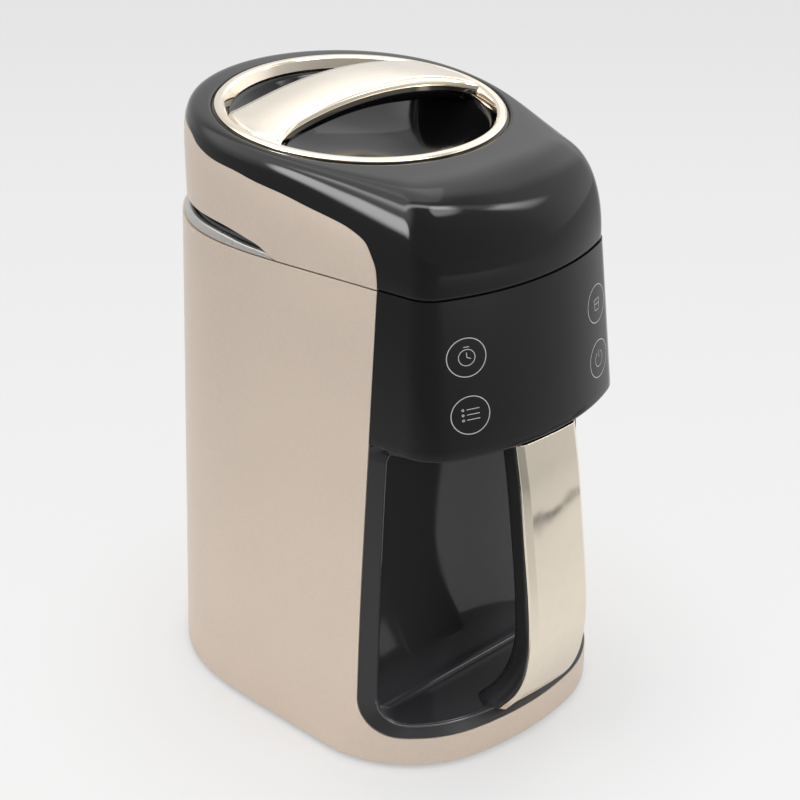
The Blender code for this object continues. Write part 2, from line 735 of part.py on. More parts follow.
def well_liner(jug, holes):
    """The black liner: a bevelled frame inside the shell's window, a scooped back wall, a floor and a ceiling."""
    low, high = BAND_TOP_Z + SEAT_GAP, PANEL_BOTTOM_Z - SEAT_GAP
    side = BASE_BACK_RADIUS + OVERRUN
    tucked = SHELL_WALL + LINER_FIT
    corner_top = BAND_TOP_Z + WINDOW_CORNER_RADIUS
    steps = levels(WELL_FLOOR_Z, corner_top, ARC_STEPS + 2) + levels(corner_top, high, ARC_STEPS)[1:]
    sections = [frame_section(z) for z in [WELL_FLOOR_Z - JOIN_OVERLAP] + steps]
    liner = add("well_liner", loft(sections), GLOSS_BLACK, jug)
    front, ahead = -(BASE_FRONT_REACH + OVERRUN), WINDOW_EDGE_Y - WINDOW_CORNER_RADIUS - SHELL_WALL
    back_face = -WELL_BACK_REACH + LINER_BACK_WALL / 2
    window = window_outline(WINDOW_EDGE_Y - SEAT_GAP, low, WINDOW_CORNER_RADIUS - SEAT_GAP, high + OVERRUN)
    floor = liner_slab("liner_floor", jug, low, WELL_FLOOR_Z, LINER_STEP, MOUTH_BEVEL, prism_x(window, side))
    behind = span_block((-side, ahead, 0), (side, back_face, high + OVERRUN))
    floor_back = liner_slab("liner_floor_back", jug, low, WELL_FLOOR_Z, tucked, tucked, behind)
    before = span_block((-side, front, 0), (side, WINDOW_EDGE_Y - SEAT_GAP, high + OVERRUN))
    ceiling = liner_slab("liner_ceiling", jug, MOUTH_TOP_Z, high, LINER_STEP, LINER_STEP, before)
    ceiling_back = liner_slab("liner_ceiling_back", jug, MOUTH_TOP_Z, high, tucked, tucked, behind.copy())
    join(liner, floor, floor_back, ceiling, ceiling_back)
    join(liner, helper("liner_bosses", bosses(front_boss_places()), jug))
    cut(liner, handle_notch(jug), holes)


def handle_notch(jug):
    """Room in the liner's ceiling for the top of the handle."""
    half = HANDLE_WIDTH / 2 + SEAT_GAP
    back = handle_front_y(1) + handle_depth(1) + SEAT_GAP
    low = (-half, -(HANDLE_BULGE_REACH + OVERRUN), MOUTH_TOP_Z - JOIN_OVERLAP)
    return helper("handle_notch", span_block(low, (half, back, PANEL_BOTTOM_Z + JOIN_OVERLAP)), jug)


HANDLE_FOOT_Z = WELL_FLOOR_Z + SEAT_GAP
HANDLE_TOP_Z = PANEL_BOTTOM_Z - SEAT_GAP


def handle_front_y(share):
    return -lerp(HANDLE_FOOT_REACH, HANDLE_BULGE_REACH, through(HANDLE_FRONT_SHARES, share))


def handle_depth(share):
    return HANDLE_DEPTH * through(HANDLE_DEPTH_SHARES, share)


def strip_face(share):
    """The strip's outer face at a height share, from its left edge to its right, as (x, y)."""
    front = handle_front_y(share)
    half, face = HANDLE_WIDTH / 2, STRIP_FACE_WIDTH / 2
    return [(-half, front + STRIP_FACET_DEPTH), (-face, front), (0, front - STRIP_CROWN), (face, front),
            (half, front + STRIP_FACET_DEPTH)]


def handle_strip(jug):
    """The plated strip over the front of the handle, with a flat face and a facet down each side."""
    rings = []
    for share in levels(0, 1, len(HANDLE_FRONT_SHARES) * 2 - 1):
        z = lerp(HANDLE_FOOT_Z, HANDLE_TOP_Z, share)
        face = strip_face(share)
        back = [(x, y + STRIP_THICKNESS) for x, y in reversed(face)]
        rings.append([(x, y, z) for x, y in face + back])
    add("handle_strip", loft(rings), PLATED, jug)


def handle_core(jug):
    """The black core behind the strip, round at the back, spreading into the well's floor."""
    rings = []
    for share in levels(0, 1, len(HANDLE_FRONT_SHARES) * 2 - 1):
        z = lerp(HANDLE_FOOT_Z, HANDLE_TOP_Z, share)
        front = [(x, y + STRIP_THICKNESS + SEAT_GAP) for x, y in strip_face(share)]
        back = handle_front_y(share) + handle_depth(share)
        half = HANDLE_WIDTH / 2 + CORE_FOOT_FLARE * (1 - smooth(share / HANDLE_FRONT_SHARES[3][0]))
        centre = Vector((half - CORE_CORNER, back - CORE_CORNER))
        bend = [Vector((half, back - CORE_CORNER))] + arc(centre, CORE_CORNER, 0, math.pi / 2, ARC_STEPS - 2)
        right = [(p.x, p.y) for p in bend]
        left = [(-x, y) for x, y in reversed(right)]
        rings.append([(x, y, z) for x, y in front + right + left])
    add("handle_core", loft(rings), GLOSS_BLACK, jug)


def control_panel(jug):
    """The gloss housing of the controls: a bowed front wall on a floor, open at the top and the back."""
    top = PARTING_Z - SEAM / 2
    heights = levels(PANEL_BOTTOM_Z, top, ARC_STEPS)
    outer = [ring_at(plan_outline(panel_plan(z)), z) for z in heights]
    inside = levels(PANEL_BOTTOM_Z + PANEL_FLOOR, top, ARC_STEPS)
    inner = [ring_at(plan_outline(panel_plan(z), PANEL_WALL), z) for z in reversed(inside)]
    panel = add("control_panel", loft(outer + inner), GLOSS_BLACK, jug)
    side = BASE_BACK_RADIUS + OVERRUN
    low = (-side, -(PANEL_FRONT_REACH + OVERRUN), 0)
    high = (side, WINDOW_EDGE_Y - SEAT_GAP, PARTING_Z + OVERRUN)
    keep_inside(panel, helper("panel_bounds", span_block(low, high), jug))


def key_places():
    return [(side * KEY_SPREAD / 2, z) for side in (-1, 1) for z in (KEY_UPPER_Z, KEY_LOWER_Z)]


def pad_room():
    """How far forward the space behind the panel reaches at the outer edges of the key pads."""
    x = KEY_SPREAD / 2 + TOUCH_PAD_RADIUS
    reaches = []
    for z in (KEY_LOWER_Z - TOUCH_PAD_RADIUS, KEY_UPPER_Z + TOUCH_PAD_RADIUS):
        side = [p for p in plan_outline(panel_plan(z), PANEL_WALL) if p.x >= 0]
        reaches += [-lerp(a.y, b.y, (a.x - x) / (a.x - b.x)) for a, b in zip(side, side[1:]) if a.x >= x > b.x]
    return min(reaches)


def controls(jug):
    """The touch board behind the panel, its display and a spring pad behind each key."""
    low_z = KEY_LOWER_Z - TOUCH_BOARD_MARGIN
    high_z = KEY_UPPER_Z + TOUCH_BOARD_MARGIN
    half = TOUCH_BOARD_WIDTH / 2
    front = TOUCH_PAD_CLEARANCE + TOUCH_PAD_LENGTH + SEAT_GAP - pad_room()
    add("touch_board", span_block((-half, front, low_z), (half, front + TOUCH_BOARD_THICKNESS, high_z)),
        BOARD_GREEN, jug)
    middle = (KEY_UPPER_Z + KEY_LOWER_Z) / 2
    centre = (0, front - SEAT_GAP - DISPLAY_DEPTH / 2, middle)
    add("display_module", block((DISPLAY_WIDTH, DISPLAY_DEPTH, DISPLAY_HEIGHT), centre), BLACK_PLASTIC, jug)
    pad = turned(rod(TOUCH_PAD_RADIUS, 0, TOUCH_PAD_LENGTH))
    for number, (x, z) in enumerate(key_places(), 1):
        add(f"touch_pad_{number}", pad.copy(), SILICONE, jug, (x, front - SEAT_GAP, z), (math.pi / 2, 0, 0))


def jug_rim(jug):
    """The silver-grey rim: a deck round the cup, and a lip that stands up round the back for pouring."""
    wall = SHELL_WALL + SEAT_GAP
    top = PARTING_Z - SEAM / 2
    deck_low = RIM_DECK_Z - RIM_DECK_THICKNESS
    lip_low = top + SEAT_GAP
    lip_foot = top - JOIN_OVERLAP
    lip_inner = LIP_STEP + LIP_WALL
    rows = [(TOP_PLAN, wall, deck_low), (TOP_PLAN, wall, lip_low), (TOP_PLAN, LIP_STEP, lip_low),
            (HEAD_PLAN, LIP_STEP, LIP_TOP_Z), (HEAD_PLAN, lip_inner, LIP_TOP_Z),
            (TOP_PLAN, wall + RIM_WALL, lip_foot), (TOP_PLAN, wall + RIM_WALL, RIM_DECK_Z)]
    rim = add("jug_rim", loft([ring_at(plan_outline(plan, i), z) for plan, i, z in rows]), SILVER, jug)
    cut(rim, helper("lip_ramp", prism_x(lip_outline(top), TOP_BACK_RADIUS + OVERRUN), jug))
    opening = rod(CUP_RADIUS + SEAT_GAP, deck_low - OVERRUN, RIM_DECK_Z + OVERRUN)
    cut(rim, helper("cup_opening", turned(opening, LARGE_TURN), jug, (0, CUP_Y, 0)))
    cut(rim, helper("coupler_opening", coupler_block(SEAT_GAP, OVERRUN), jug))


def lip_outline(low_z):
    """What is cut away above the lip, seen from the side: the lip rises in a soft ramp from the parting line."""
    front, high = -(TOP_FRONT_REACH + OVERRUN), LIP_TOP_Z + OVERRUN
    ramp = []
    for y in levels(LIP_RISES[0][0], LIP_RISES[-1][0], 2 * ARC_STEPS):
        ramp.append((y, PARTING_Z + through(LIP_RISES, y) + SEAM / 2))
    ramp[0] = (ramp[0][0], low_z)
    return [(front, low_z), *ramp, (ramp[-1][0], high), (front, high)]


def steel_cup(jug):
    """The deep-drawn cup hangs by its flange, on a gasket on the rim's deck."""
    flange_top = CUP_FLANGE_Z + CUP_WALL
    bend_z = CUP_BOTTOM_Z + CUP_BOTTOM_FILLET
    bend_r = CUP_RADIUS - CUP_BOTTOM_FILLET
    outer_bend = arc(Vector((bend_r, bend_z)), CUP_BOTTOM_FILLET, -math.pi / 2, 0, ARC_STEPS - 1)
    inner_bend = arc(Vector((bend_r, bend_z)), CUP_BOTTOM_FILLET - CUP_WALL, 0, -math.pi / 2, ARC_STEPS - 1)
    profile = [(0, CUP_BOTTOM_Z), (bend_r, CUP_BOTTOM_Z), *outer_bend, (CUP_RADIUS, CUP_FLANGE_Z),
               (CUP_RADIUS + CUP_FLANGE, CUP_FLANGE_Z), (CUP_RADIUS + CUP_FLANGE, flange_top),
               (CUP_RADIUS - CUP_WALL, flange_top), (CUP_RADIUS - CUP_WALL, bend_z), *inner_bend,
               (0, CUP_BOTTOM_Z + CUP_WALL)]
    add("inner_cup", turned(profile, LARGE_TURN), STEEL, jug, (0, CUP_Y, 0))
    gasket_inner = CUP_RADIUS + JOIN_OVERLAP
    gasket = tube(gasket_inner, gasket_inner + GASKET_WIDTH, RIM_DECK_Z + SEAT_GAP, CUP_FLANGE_Z - SEAT_GAP)
    add("cup_gasket", turned(gasket, LARGE_TURN), SILICONE, jug, (0, CUP_Y, 0))


def heater(jug):
    """The heater plate under the cup, its open ring of heating tube and the thermal cut-out."""
    plate_top = CUP_BOTTOM_Z - SEAT_GAP
    plate_low = plate_top - HEATER_THICKNESS
    at = (0, CUP_Y, 0)
    add("heater_plate", turned(rod(HEATER_RADIUS, plate_low, plate_top), LARGE_TURN), ALUMINIUM, jug, at)
    z = plate_low - SEAT_GAP - TUBE_RADIUS
    rings = []
    for sweep in levels(-TUBE_SWEEP / 2, TUBE_SWEEP / 2, LARGE_TURN // 2):
        out = Vector((math.sin(sweep), math.cos(sweep), 0))
        around = [2 * math.pi * i / (2 * ARC_STEPS) for i in range(2 * ARC_STEPS)]
        middle = out * TUBE_RING_RADIUS + Vector((0, 0, z))
        rings.append([middle + TUBE_RADIUS * (out * math.cos(a) + Vector((0, 0, math.sin(a)))) for a in around])
    add("heating_tube", loft(rings), STEEL, jug, at)
    top = plate_low - SEAT_GAP
    add("thermal_cutout", turned(rod(CUTOUT_RADIUS, top - CUTOUT_HEIGHT, top)), ALUMINIUM, jug, at)


def power_board(jug):
    """The power board on its posts, with the transformer and the heater's relay."""
    size = (BOARD_WIDTH, BOARD_DEPTH, BOARD_THICKNESS)
    add("power_board", block(size, (0, BOARD_Y, BOARD_Z + BOARD_THICKNESS / 2)), BOARD_GREEN, jug)
    top = BOARD_Z + BOARD_THICKNESS + SEAT_GAP
    parts = [("transformer", TRANSFORMER_SIZE, TRANSFORMER_X, TRANSFORMER_Y, COPPER),
             ("heater_relay", RELAY_SIZE, RELAY_X, RELAY_Y, BLACK_PLASTIC)]
    for name, part, x, y, look in parts:
        add(name, block(part, (x, y, top + part[2] / 2)), look, jug)


def inlet_face_y():
    """How far back the shell reaches at the inlet's height."""
    plan = body_plan(INLET_Z)
    return plan.back_y + plan.back_radius - INLET_RECESS


def inlet_block(gap, overrun):
    half_width = INLET_MOUTH_WIDTH / 2 + INLET_WALL + gap
    half_height = INLET_MOUTH_HEIGHT / 2 + INLET_WALL + gap
    front = inlet_face_y() - INLET_MOUTH_DEPTH - INLET_WALL - gap
    low = (-half_width, front, INLET_Z - half_height)
    return span_block(low, (half_width, inlet_face_y() + overrun, INLET_Z + half_height))


def mains_inlet(jug):
    """A three-pin mains inlet, let into the shell low at the back."""
    socket = add("inlet_socket", inlet_block(0, 0), BLACK_PLASTIC, jug)
    floor_y = inlet_face_y() - INLET_MOUTH_DEPTH
    half = (INLET_MOUTH_WIDTH / 2, INLET_MOUTH_HEIGHT / 2)
    mouth = span_block((-half[0], floor_y, INLET_Z - half[1]), (half[0], inlet_face_y() + OVERRUN, INLET_Z + half[1]))
    cut(socket, helper("inlet_mouth", mouth, jug))
    for number, side in enumerate((-1, 0, 1), 1):
        rise = 0 if side else PIN_EARTH_RISE
        centre = (side * PIN_PITCH, floor_y + SEAT_GAP + PIN_LENGTH / 2, INLET_Z + rise - PIN_EARTH_RISE / 2)
        add(f"inlet_pin_{number}", block((PIN_THICKNESS, PIN_LENGTH, PIN_HEIGHT), centre), BRASS, jug)


def coupler_block(gap, overrun):
    half_x, half_y = COUPLER_WIDTH / 2 + gap, COUPLER_DEPTH / 2 + gap
    low = (-half_x, -COUPLER_REACH - half_y, COUPLER_SOCKET_TOP_Z - COUPLER_SOCKET_HEIGHT - gap)
    return span_block(low, (half_x, -COUPLER_REACH + half_y, COUPLER_SOCKET_TOP_Z + overrun))


def contact_blocks(grow, top_z):
    """The three contact blades of the plug, or with grow the slots that take them."""
    shape = bmesh.new()
    for side in (-1, 0, 1):
        size = (BLADE_CONTACT_WIDTH + 2 * grow, BLADE_CONTACT_THICKNESS + 2 * grow, BLADE_CONTACT_LENGTH + 2 * grow)
        made = bmesh.ops.create_cube(shape, size=1)["verts"]
        bmesh.ops.scale(shape, vec=size, verts=made)
        middle = (side * BLADE_CONTACT_PITCH, -COUPLER_REACH, top_z - size[2] / 2)
        bmesh.ops.translate(shape, vec=middle, verts=made)
    return mesh_of(shape)


def coupler_socket(jug):
    """The jug's half of the coupler, which feeds the motor in the head."""
    socket = add("coupler_socket", coupler_block(0, 0), BLACK_PLASTIC, jug)
    cut(socket, helper("contact_slots", contact_blocks(SEAT_GAP, COUPLER_SOCKET_TOP_Z + JOIN_OVERLAP), jug))


def by_direction(values, x, y):
    """Reads a value given at DOME_ANGLES for a point of the plan."""
    turn = math.degrees(abs(math.atan2(x, -y)))
    for k in range(len(DOME_ANGLES) - 1):
        if turn <= DOME_ANGLES[k + 1]:
            share = (turn - DOME_ANGLES[k]) / (DOME_ANGLES[k + 1] - DOME_ANGLES[k])
            return lerp(values[k], values[k + 1], smooth(share))
    return values[-1]


def ring_point(turn, radius, drop):
    """A point of the tilted ring, drop below its plane."""
    x, y = radius * math.cos(turn), radius * math.sin(turn)
    return Vector((x, RING_Y + y * math.cos(RING_TILT) + drop * math.sin(RING_TILT),
                   RING_Z + y * math.sin(RING_TILT) - drop * math.cos(RING_TILT)))


def dome_rings(inset, drop):
    """Rings of the dome from the parting line to the ring. Each direction has its own rounding."""
    outline = plan_outline(HEAD_PLAN, DOME_STEP + inset)
    rings = [[] for _ in DOME_LEVELS]
    for point in outline:
        x, y = point.x, point.y - RING_Y
        run_power, rise_power = by_direction(DOME_RUN_POWERS, x, y), by_direction(DOME_RISE_POWERS, x, y)
        edge = ring_point(math.atan2(y, x), DOME_EDGE_RADIUS, DOME_EDGE_DROP + drop)
        for ring, level in zip(rings, DOME_LEVELS):
            run = 1 - max(math.cos(math.radians(level)), 0) ** (2 / run_power)
            rise = math.sin(math.radians(level)) ** (2 / rise_power)
            ring.append((lerp(point.x, edge.x, run), lerp(point.y, edge.y, run), lerp(HEAD_BOTTOM_Z, edge.z, rise)))
    return rings


def dome_edge(radius, drop):
    outline = plan_outline(HEAD_PLAN, DOME_STEP)
    return [ring_point(math.atan2(p.y - RING_Y, p.x), radius, DOME_EDGE_DROP + drop) for p in outline]


def band_outline(grow):
    """The side band's side view: a sloping top edge, a round front corner, a lifted lower edge at the back."""
    low = HEAD_BOTTOM_Z - grow
    front = HEAD_BAND_FRONT_Y - grow
    back = BASE_BACK_Y + BASE_BACK_RADIUS + OVERRUN
    corner = HEAD_BAND_CORNER
    centre = Vector((front + corner, HEAD_BAND_FRONT_TOP_Z + grow - corner))
    slope = math.atan2(HEAD_BAND_SIDE_TOP_Z - HEAD_BAND_FRONT_TOP_Z, HEAD_BAND_SIDE_Y - HEAD_BAND_FRONT_Y)
    bend = arc(centre, corner, math.pi, math.pi / 2 + slope, ARC_STEPS)
    top = [(HEAD_BAND_SIDE_Y, HEAD_BAND_SIDE_TOP_Z + grow), (HEAD_BAND_BACK_Y, HEAD_BAND_BACK_TOP_Z + grow),
           (back, HEAD_BAND_BACK_TOP_Z + grow)]
    return [(front, low), (front, centre.y), *[(p.x, p.y) for p in bend], *top, (back, low)]


def slit_outline():
    """What is cut away under the head at the back, so that the jug can pour."""
    low = HEAD_BOTTOM_Z - OVERRUN
    back = BASE_BACK_Y + BASE_BACK_RADIUS + OVERRUN
    ramp = []
    for y in levels(SLIT_RISES[0][0], SLIT_RISES[-1][0], 2 * ARC_STEPS):
        ramp.append((y, PARTING_Z + through(SLIT_RISES, y)))
    return [(SLIT_RISES[0][0], low), *ramp, (back, SLIT_TOP_Z), (back, low)]


def head_casing(head):
    """The black dome, and the painted band let into its sides and back."""
    side = BASE_BACK_RADIUS + OVERRUN
    hole = RING_RADIUS - RING_WIDTH
    rings = dome_rings(0, 0) + [dome_edge(hole, 0), dome_edge(hole, DOME_WALL)]
    rings += reversed(dome_rings(DOME_WALL, DOME_WALL))
    dome = add("head_shell", loft(rings, loop=True), GLOSS_BLACK, head)
    ring_seat = turned(rod(RING_RADIUS + SEAT_GAP, -OVERRUN, OVERRUN), LARGE_TURN)
    cut(dome, helper("ring_seat", ring_seat, head, (0, RING_Y, RING_Z), (RING_TILT, 0, 0)))
    recess = dome_rings(-OVERRUN, 0) + list(reversed(dome_rings(HEAD_BAND_WALL + SEAT_GAP, HEAD_BAND_WALL)))
    cutter = helper("band_recess", loft(recess, loop=True), head)
    keep_inside(cutter, helper("band_recess_bounds", prism_x(band_outline(SEAT_GAP), side), head))
    slit = helper("pouring_slit", prism_x(slit_outline(), side), head)
    cut(dome, cutter, slit)
    skin = dome_rings(0, 0) + list(reversed(dome_rings(HEAD_BAND_WALL, HEAD_BAND_WALL)))
    band = add("head_band", loft(skin, loop=True), PAINTED, head)
    keep_inside(band, helper("band_bounds", prism_x(band_outline(0), side), head))
    cut(band, slit)


def ring_and_bowl(head):
    """The plated ring, and the black finger bowl that hangs under it."""
    at, tilt = (0, RING_Y, RING_Z), (RING_TILT, 0, 0)
    inner = RING_RADIUS - RING_WIDTH
    skirt = inner + RING_SKIRT_WALL
    profile = [(RING_RADIUS, -RING_FLANGE), (RING_RADIUS, 0), (RING_RADIUS - RING_EDGE, RING_CROWN),
               (inner + RING_EDGE, RING_CROWN), (inner, 0), (inner, -RING_SKIRT), (skirt, -RING_SKIRT),
               (skirt, -RING_FLANGE)]
    add("top_ring", turned(profile, LARGE_TURN), PLATED, head, at, tilt)
    flange_top = -(RING_FLANGE + SEAT_GAP)
    flange_low = flange_top - BOWL_FLANGE_THICKNESS
    collar = skirt + SEAT_GAP
    shoulder = -(RING_SKIRT + SEAT_GAP)
    steps = levels(0, 1, ARC_STEPS + 1)
    dish = [(collar * share, -lerp(BOWL_DEPTH, -shoulder, share**2)) for share in steps]
    under = [(r, z - BOWL_WALL) for r, z in reversed(dish[:-1])]
    rim = collar + BOWL_COLLAR_WALL
    profile = [*dish, (collar, flange_top), (BOWL_FLANGE_RADIUS, flange_top), (BOWL_FLANGE_RADIUS, flange_low),
               (rim, flange_low), (rim, shoulder - BOWL_WALL), *under]
    add("grip_bowl", turned(profile, LARGE_TURN), GLOSS_BLACK, head, at, tilt)


def bar_edges(x, reach):
    """Front and back edges of the carry bar at x, which spread where they meet the ring."""
    flare = (abs(x) / reach) ** 8
    return -(BAR_FRONT + BAR_FRONT_FLARE * flare), BAR_BACK + BAR_BACK_FLARE * flare


def bar_rise(x, reach):
    return BAR_RISE * (1 - (x / reach) ** 2)


def carry_bar(head):
    """The arched plated bar across the ring, and the black grip under it."""
    at, tilt = (0, RING_Y, RING_Z), (RING_TILT, 0, 0)
    reach = RING_RADIUS - RING_WIDTH
    bar_rings, grip_rings = [], []
    for x in levels(-reach, reach, 4 * ARC_STEPS + 1):
        front, back = bar_edges(x, reach)
        rise = bar_rise(x, reach)
        across = levels(front + BAR_BEVEL, back - BAR_BEVEL, ARC_STEPS)
        middle, half = (front + back) / 2, (back - front) / 2
        top = [(y, rise + BAR_CROWN * (1 - ((y - middle) / half) ** 2)) for y in across]
        low = rise - BAR_THICKNESS
        section = [(front, low), (front, rise - BAR_BEVEL / 2), *top, (back, rise - BAR_BEVEL / 2), (back, low)]
        bar_rings.append([(x, y, z) for y, z in section])
        seat = low - SEAT_GAP
        grip_front, grip_back = front + GRIP_STEP, back - GRIP_STEP
        depth = lerp(GRIP_DEPTH, GRIP_END_DEPTH, (x / reach) ** 4)
        belly = [(lerp(grip_back, grip_front, share), seat - depth * math.sin(math.pi * share) ** 0.5)
                 for share in levels(0, 1, ARC_STEPS + 2)[1:-1]]
        section = [(grip_front, seat), (grip_back, seat), *belly]
        grip_rings.append([(x, y, z) for y, z in section])
    fit = rod(reach - SEAT_GAP, -(BAR_THICKNESS + OVERRUN), BAR_RISE + OVERRUN)
    bar = add("carry_bar", loft(bar_rings), PLATED, head, at, tilt)
    keep_inside(bar, helper("bar_bounds", turned(fit, LARGE_TURN), head, at, tilt))
    grip = add("bar_grip", loft(grip_rings), GLOSS_BLACK, head, at, tilt)
    fit = rod(reach - GRIP_END_GAP, -(BAR_THICKNESS + OVERRUN), BAR_RISE + OVERRUN)
    keep_inside(grip, helper("grip_bounds", turned(fit, LARGE_TURN), head, at, tilt))


def head_base(head):
    """The plate that closes the head, with the round neck that seals into the cup."""
    inset = DOME_STEP + DOME_WALL + HEAD_BASE_CLEARANCE
    low, floor_top = HEAD_BASE_Z, HEAD_BASE_Z + HEAD_BASE_FLOOR
    rows = [(inset, low), (inset, low + HEAD_BASE_HEIGHT), (inset + HEAD_BASE_RIM, low + HEAD_BASE_HEIGHT),
            (inset + HEAD_BASE_RIM, floor_top)]
    base = add("head_base", loft([ring_at(plan_outline(HEAD_PLAN, i), z) for i, z in rows]), BLACK_PLASTIC, head)
    at = (0, CUP_Y, 0)
    neck = tube(NECK_RADIUS - NECK_WALL, NECK_RADIUS, NECK_BOTTOM_Z, low + JOIN_OVERLAP)
    join(base, helper("sealing_neck", turned(neck, LARGE_TURN), head, at))
    hole = rod(HOUSING_RADIUS + SEAT_GAP, low - OVERRUN, floor_top + OVERRUN)
    cut(base, helper("housing_hole", turned(hole, LARGE_TURN), head, at))
    seal_inner = NECK_RADIUS + SEAT_GAP
    seal = tube(seal_inner, CUP_RADIUS - CUP_WALL - SEAT_GAP, SEAL_Z, SEAL_Z + SEAL_HEIGHT)
    add("head_seal", turned(seal, LARGE_TURN), SILICONE, head, at)


def motor(head, rotor):
    """The motor in its steel housing, from the floor up: damper, stator, bracket and bearings."""
    at = (0, CUP_Y, 0)
    bore = SHAFT_RADIUS + SHAFT_GAP
    flange_z = HEAD_BASE_Z + HEAD_BASE_FLOOR + SEAT_GAP
    inside = HOUSING_RADIUS - HOUSING_WALL
    floor_z = HOUSING_BOTTOM_Z + HOUSING_WALL
    wide = HOUSING_RADIUS + HOUSING_FLANGE
    can = [(bore, HOUSING_BOTTOM_Z), (HOUSING_RADIUS, HOUSING_BOTTOM_Z), (HOUSING_RADIUS, flange_z),
           (wide, flange_z), (wide, flange_z + HOUSING_WALL), (inside, flange_z + HOUSING_WALL),
           (inside, floor_z), (bore, floor_z)]
    add("motor_housing", turned(can, LARGE_TURN), STEEL, head, at)
    damper_z = floor_z + SEAT_GAP
    add("motor_damper", turned(tube(DAMPER_BORE, BRACKET_RADIUS, damper_z, damper_z + DAMPER_HEIGHT), LARGE_TURN),
        RUBBER, head, at)
    add("lower_bearing", turned(tube(bore, BEARING_RADIUS, damper_z, damper_z + BEARING_HEIGHT)), STEEL, head, at)
    stator_z = damper_z + DAMPER_HEIGHT + SEAT_GAP
    half, corner = STATOR_SIDE / 2, STATOR_CORNER
    corners = [(half, half - corner), (half - corner, half), (corner - half, half), (-half, half - corner),
               (-half, corner - half), (corner - half, -half), (half - corner, -half), (half, corner - half)]
    stack = [[(x, y, z) for x, y in corners] for z in (stator_z, stator_z + STATOR_HEIGHT)]
    stator = add("motor_stator", loft(stack), COPPER, head, at)
    air = rod(ROTOR_RADIUS + ROTOR_AIR_GAP, stator_z - OVERRUN, stator_z + STATOR_HEIGHT + OVERRUN)
    cut(stator, helper("stator_bore", turned(air), head, at))
    bracket_z = stator_z + STATOR_HEIGHT + SEAT_GAP
    add("upper_bracket", turned(tube(BEARING_RADIUS + SEAT_GAP, BRACKET_RADIUS, bracket_z, bracket_z + BRACKET_THICKNESS),
                                LARGE_TURN), ALUMINIUM, head, at)
    add("upper_bearing", turned(tube(bore, BEARING_RADIUS, bracket_z, bracket_z + BEARING_HEIGHT)), STEEL, head, at)
    rotor_low = stator_z + FAN_CLEARANCE
    rotor_high = stator_z + STATOR_HEIGHT - COMMUTATOR_HEIGHT - FAN_CLEARANCE
    core = [(bore, rotor_low), (ROTOR_RADIUS, rotor_low), (ROTOR_RADIUS, rotor_high),
            (COMMUTATOR_RADIUS, rotor_high), (COMMUTATOR_RADIUS, rotor_high + COMMUTATOR_HEIGHT),
            (bore, rotor_high + COMMUTATOR_HEIGHT)]
    add("motor_rotor", turned(core), COPPER, rotor)
    fan_z = bracket_z + BEARING_HEIGHT + FAN_CLEARANCE
    cooling_fan(rotor, fan_z)
    return fan_z + FAN_HEIGHT + SHAFT_TOP_REACH


def cooling_fan(rotor, z):
    """A flat fan: a hub and a thin disc with upright blades on it."""
    bore = SHAFT_RADIUS + SHAFT_GAP
    disc = FAN_BLADE_THICKNESS
    profile = [(bore, z), (FAN_RADIUS, z), (FAN_RADIUS, z + disc), (FAN_HUB_RADIUS, z + disc),
               (FAN_HUB_RADIUS, z + FAN_HEIGHT), (bore, z + FAN_HEIGHT)]
    fan = add("motor_fan", turned(profile), BLACK_PLASTIC, rotor)
    shape = bmesh.new()
    length = FAN_RADIUS - FAN_HUB_RADIUS
    for i in range(FAN_BLADES):
        made = bmesh.ops.create_cube(shape, size=1)["verts"]
        bmesh.ops.scale(shape, vec=(length, FAN_BLADE_THICKNESS, FAN_HEIGHT - disc / 2), verts=made)
        middle = (FAN_HUB_RADIUS + length / 2 - JOIN_OVERLAP, 0, z + (FAN_HEIGHT + disc / 2) / 2)
        bmesh.ops.translate(shape, vec=middle, verts=made)
        turn = Euler((0, 0, 2 * math.pi * i / FAN_BLADES)).to_matrix()
        bmesh.ops.rotate(shape, cent=(0, 0, 0), matrix=turn, verts=made)
    join(fan, helper("fan_blades", mesh_of(shape), rotor))


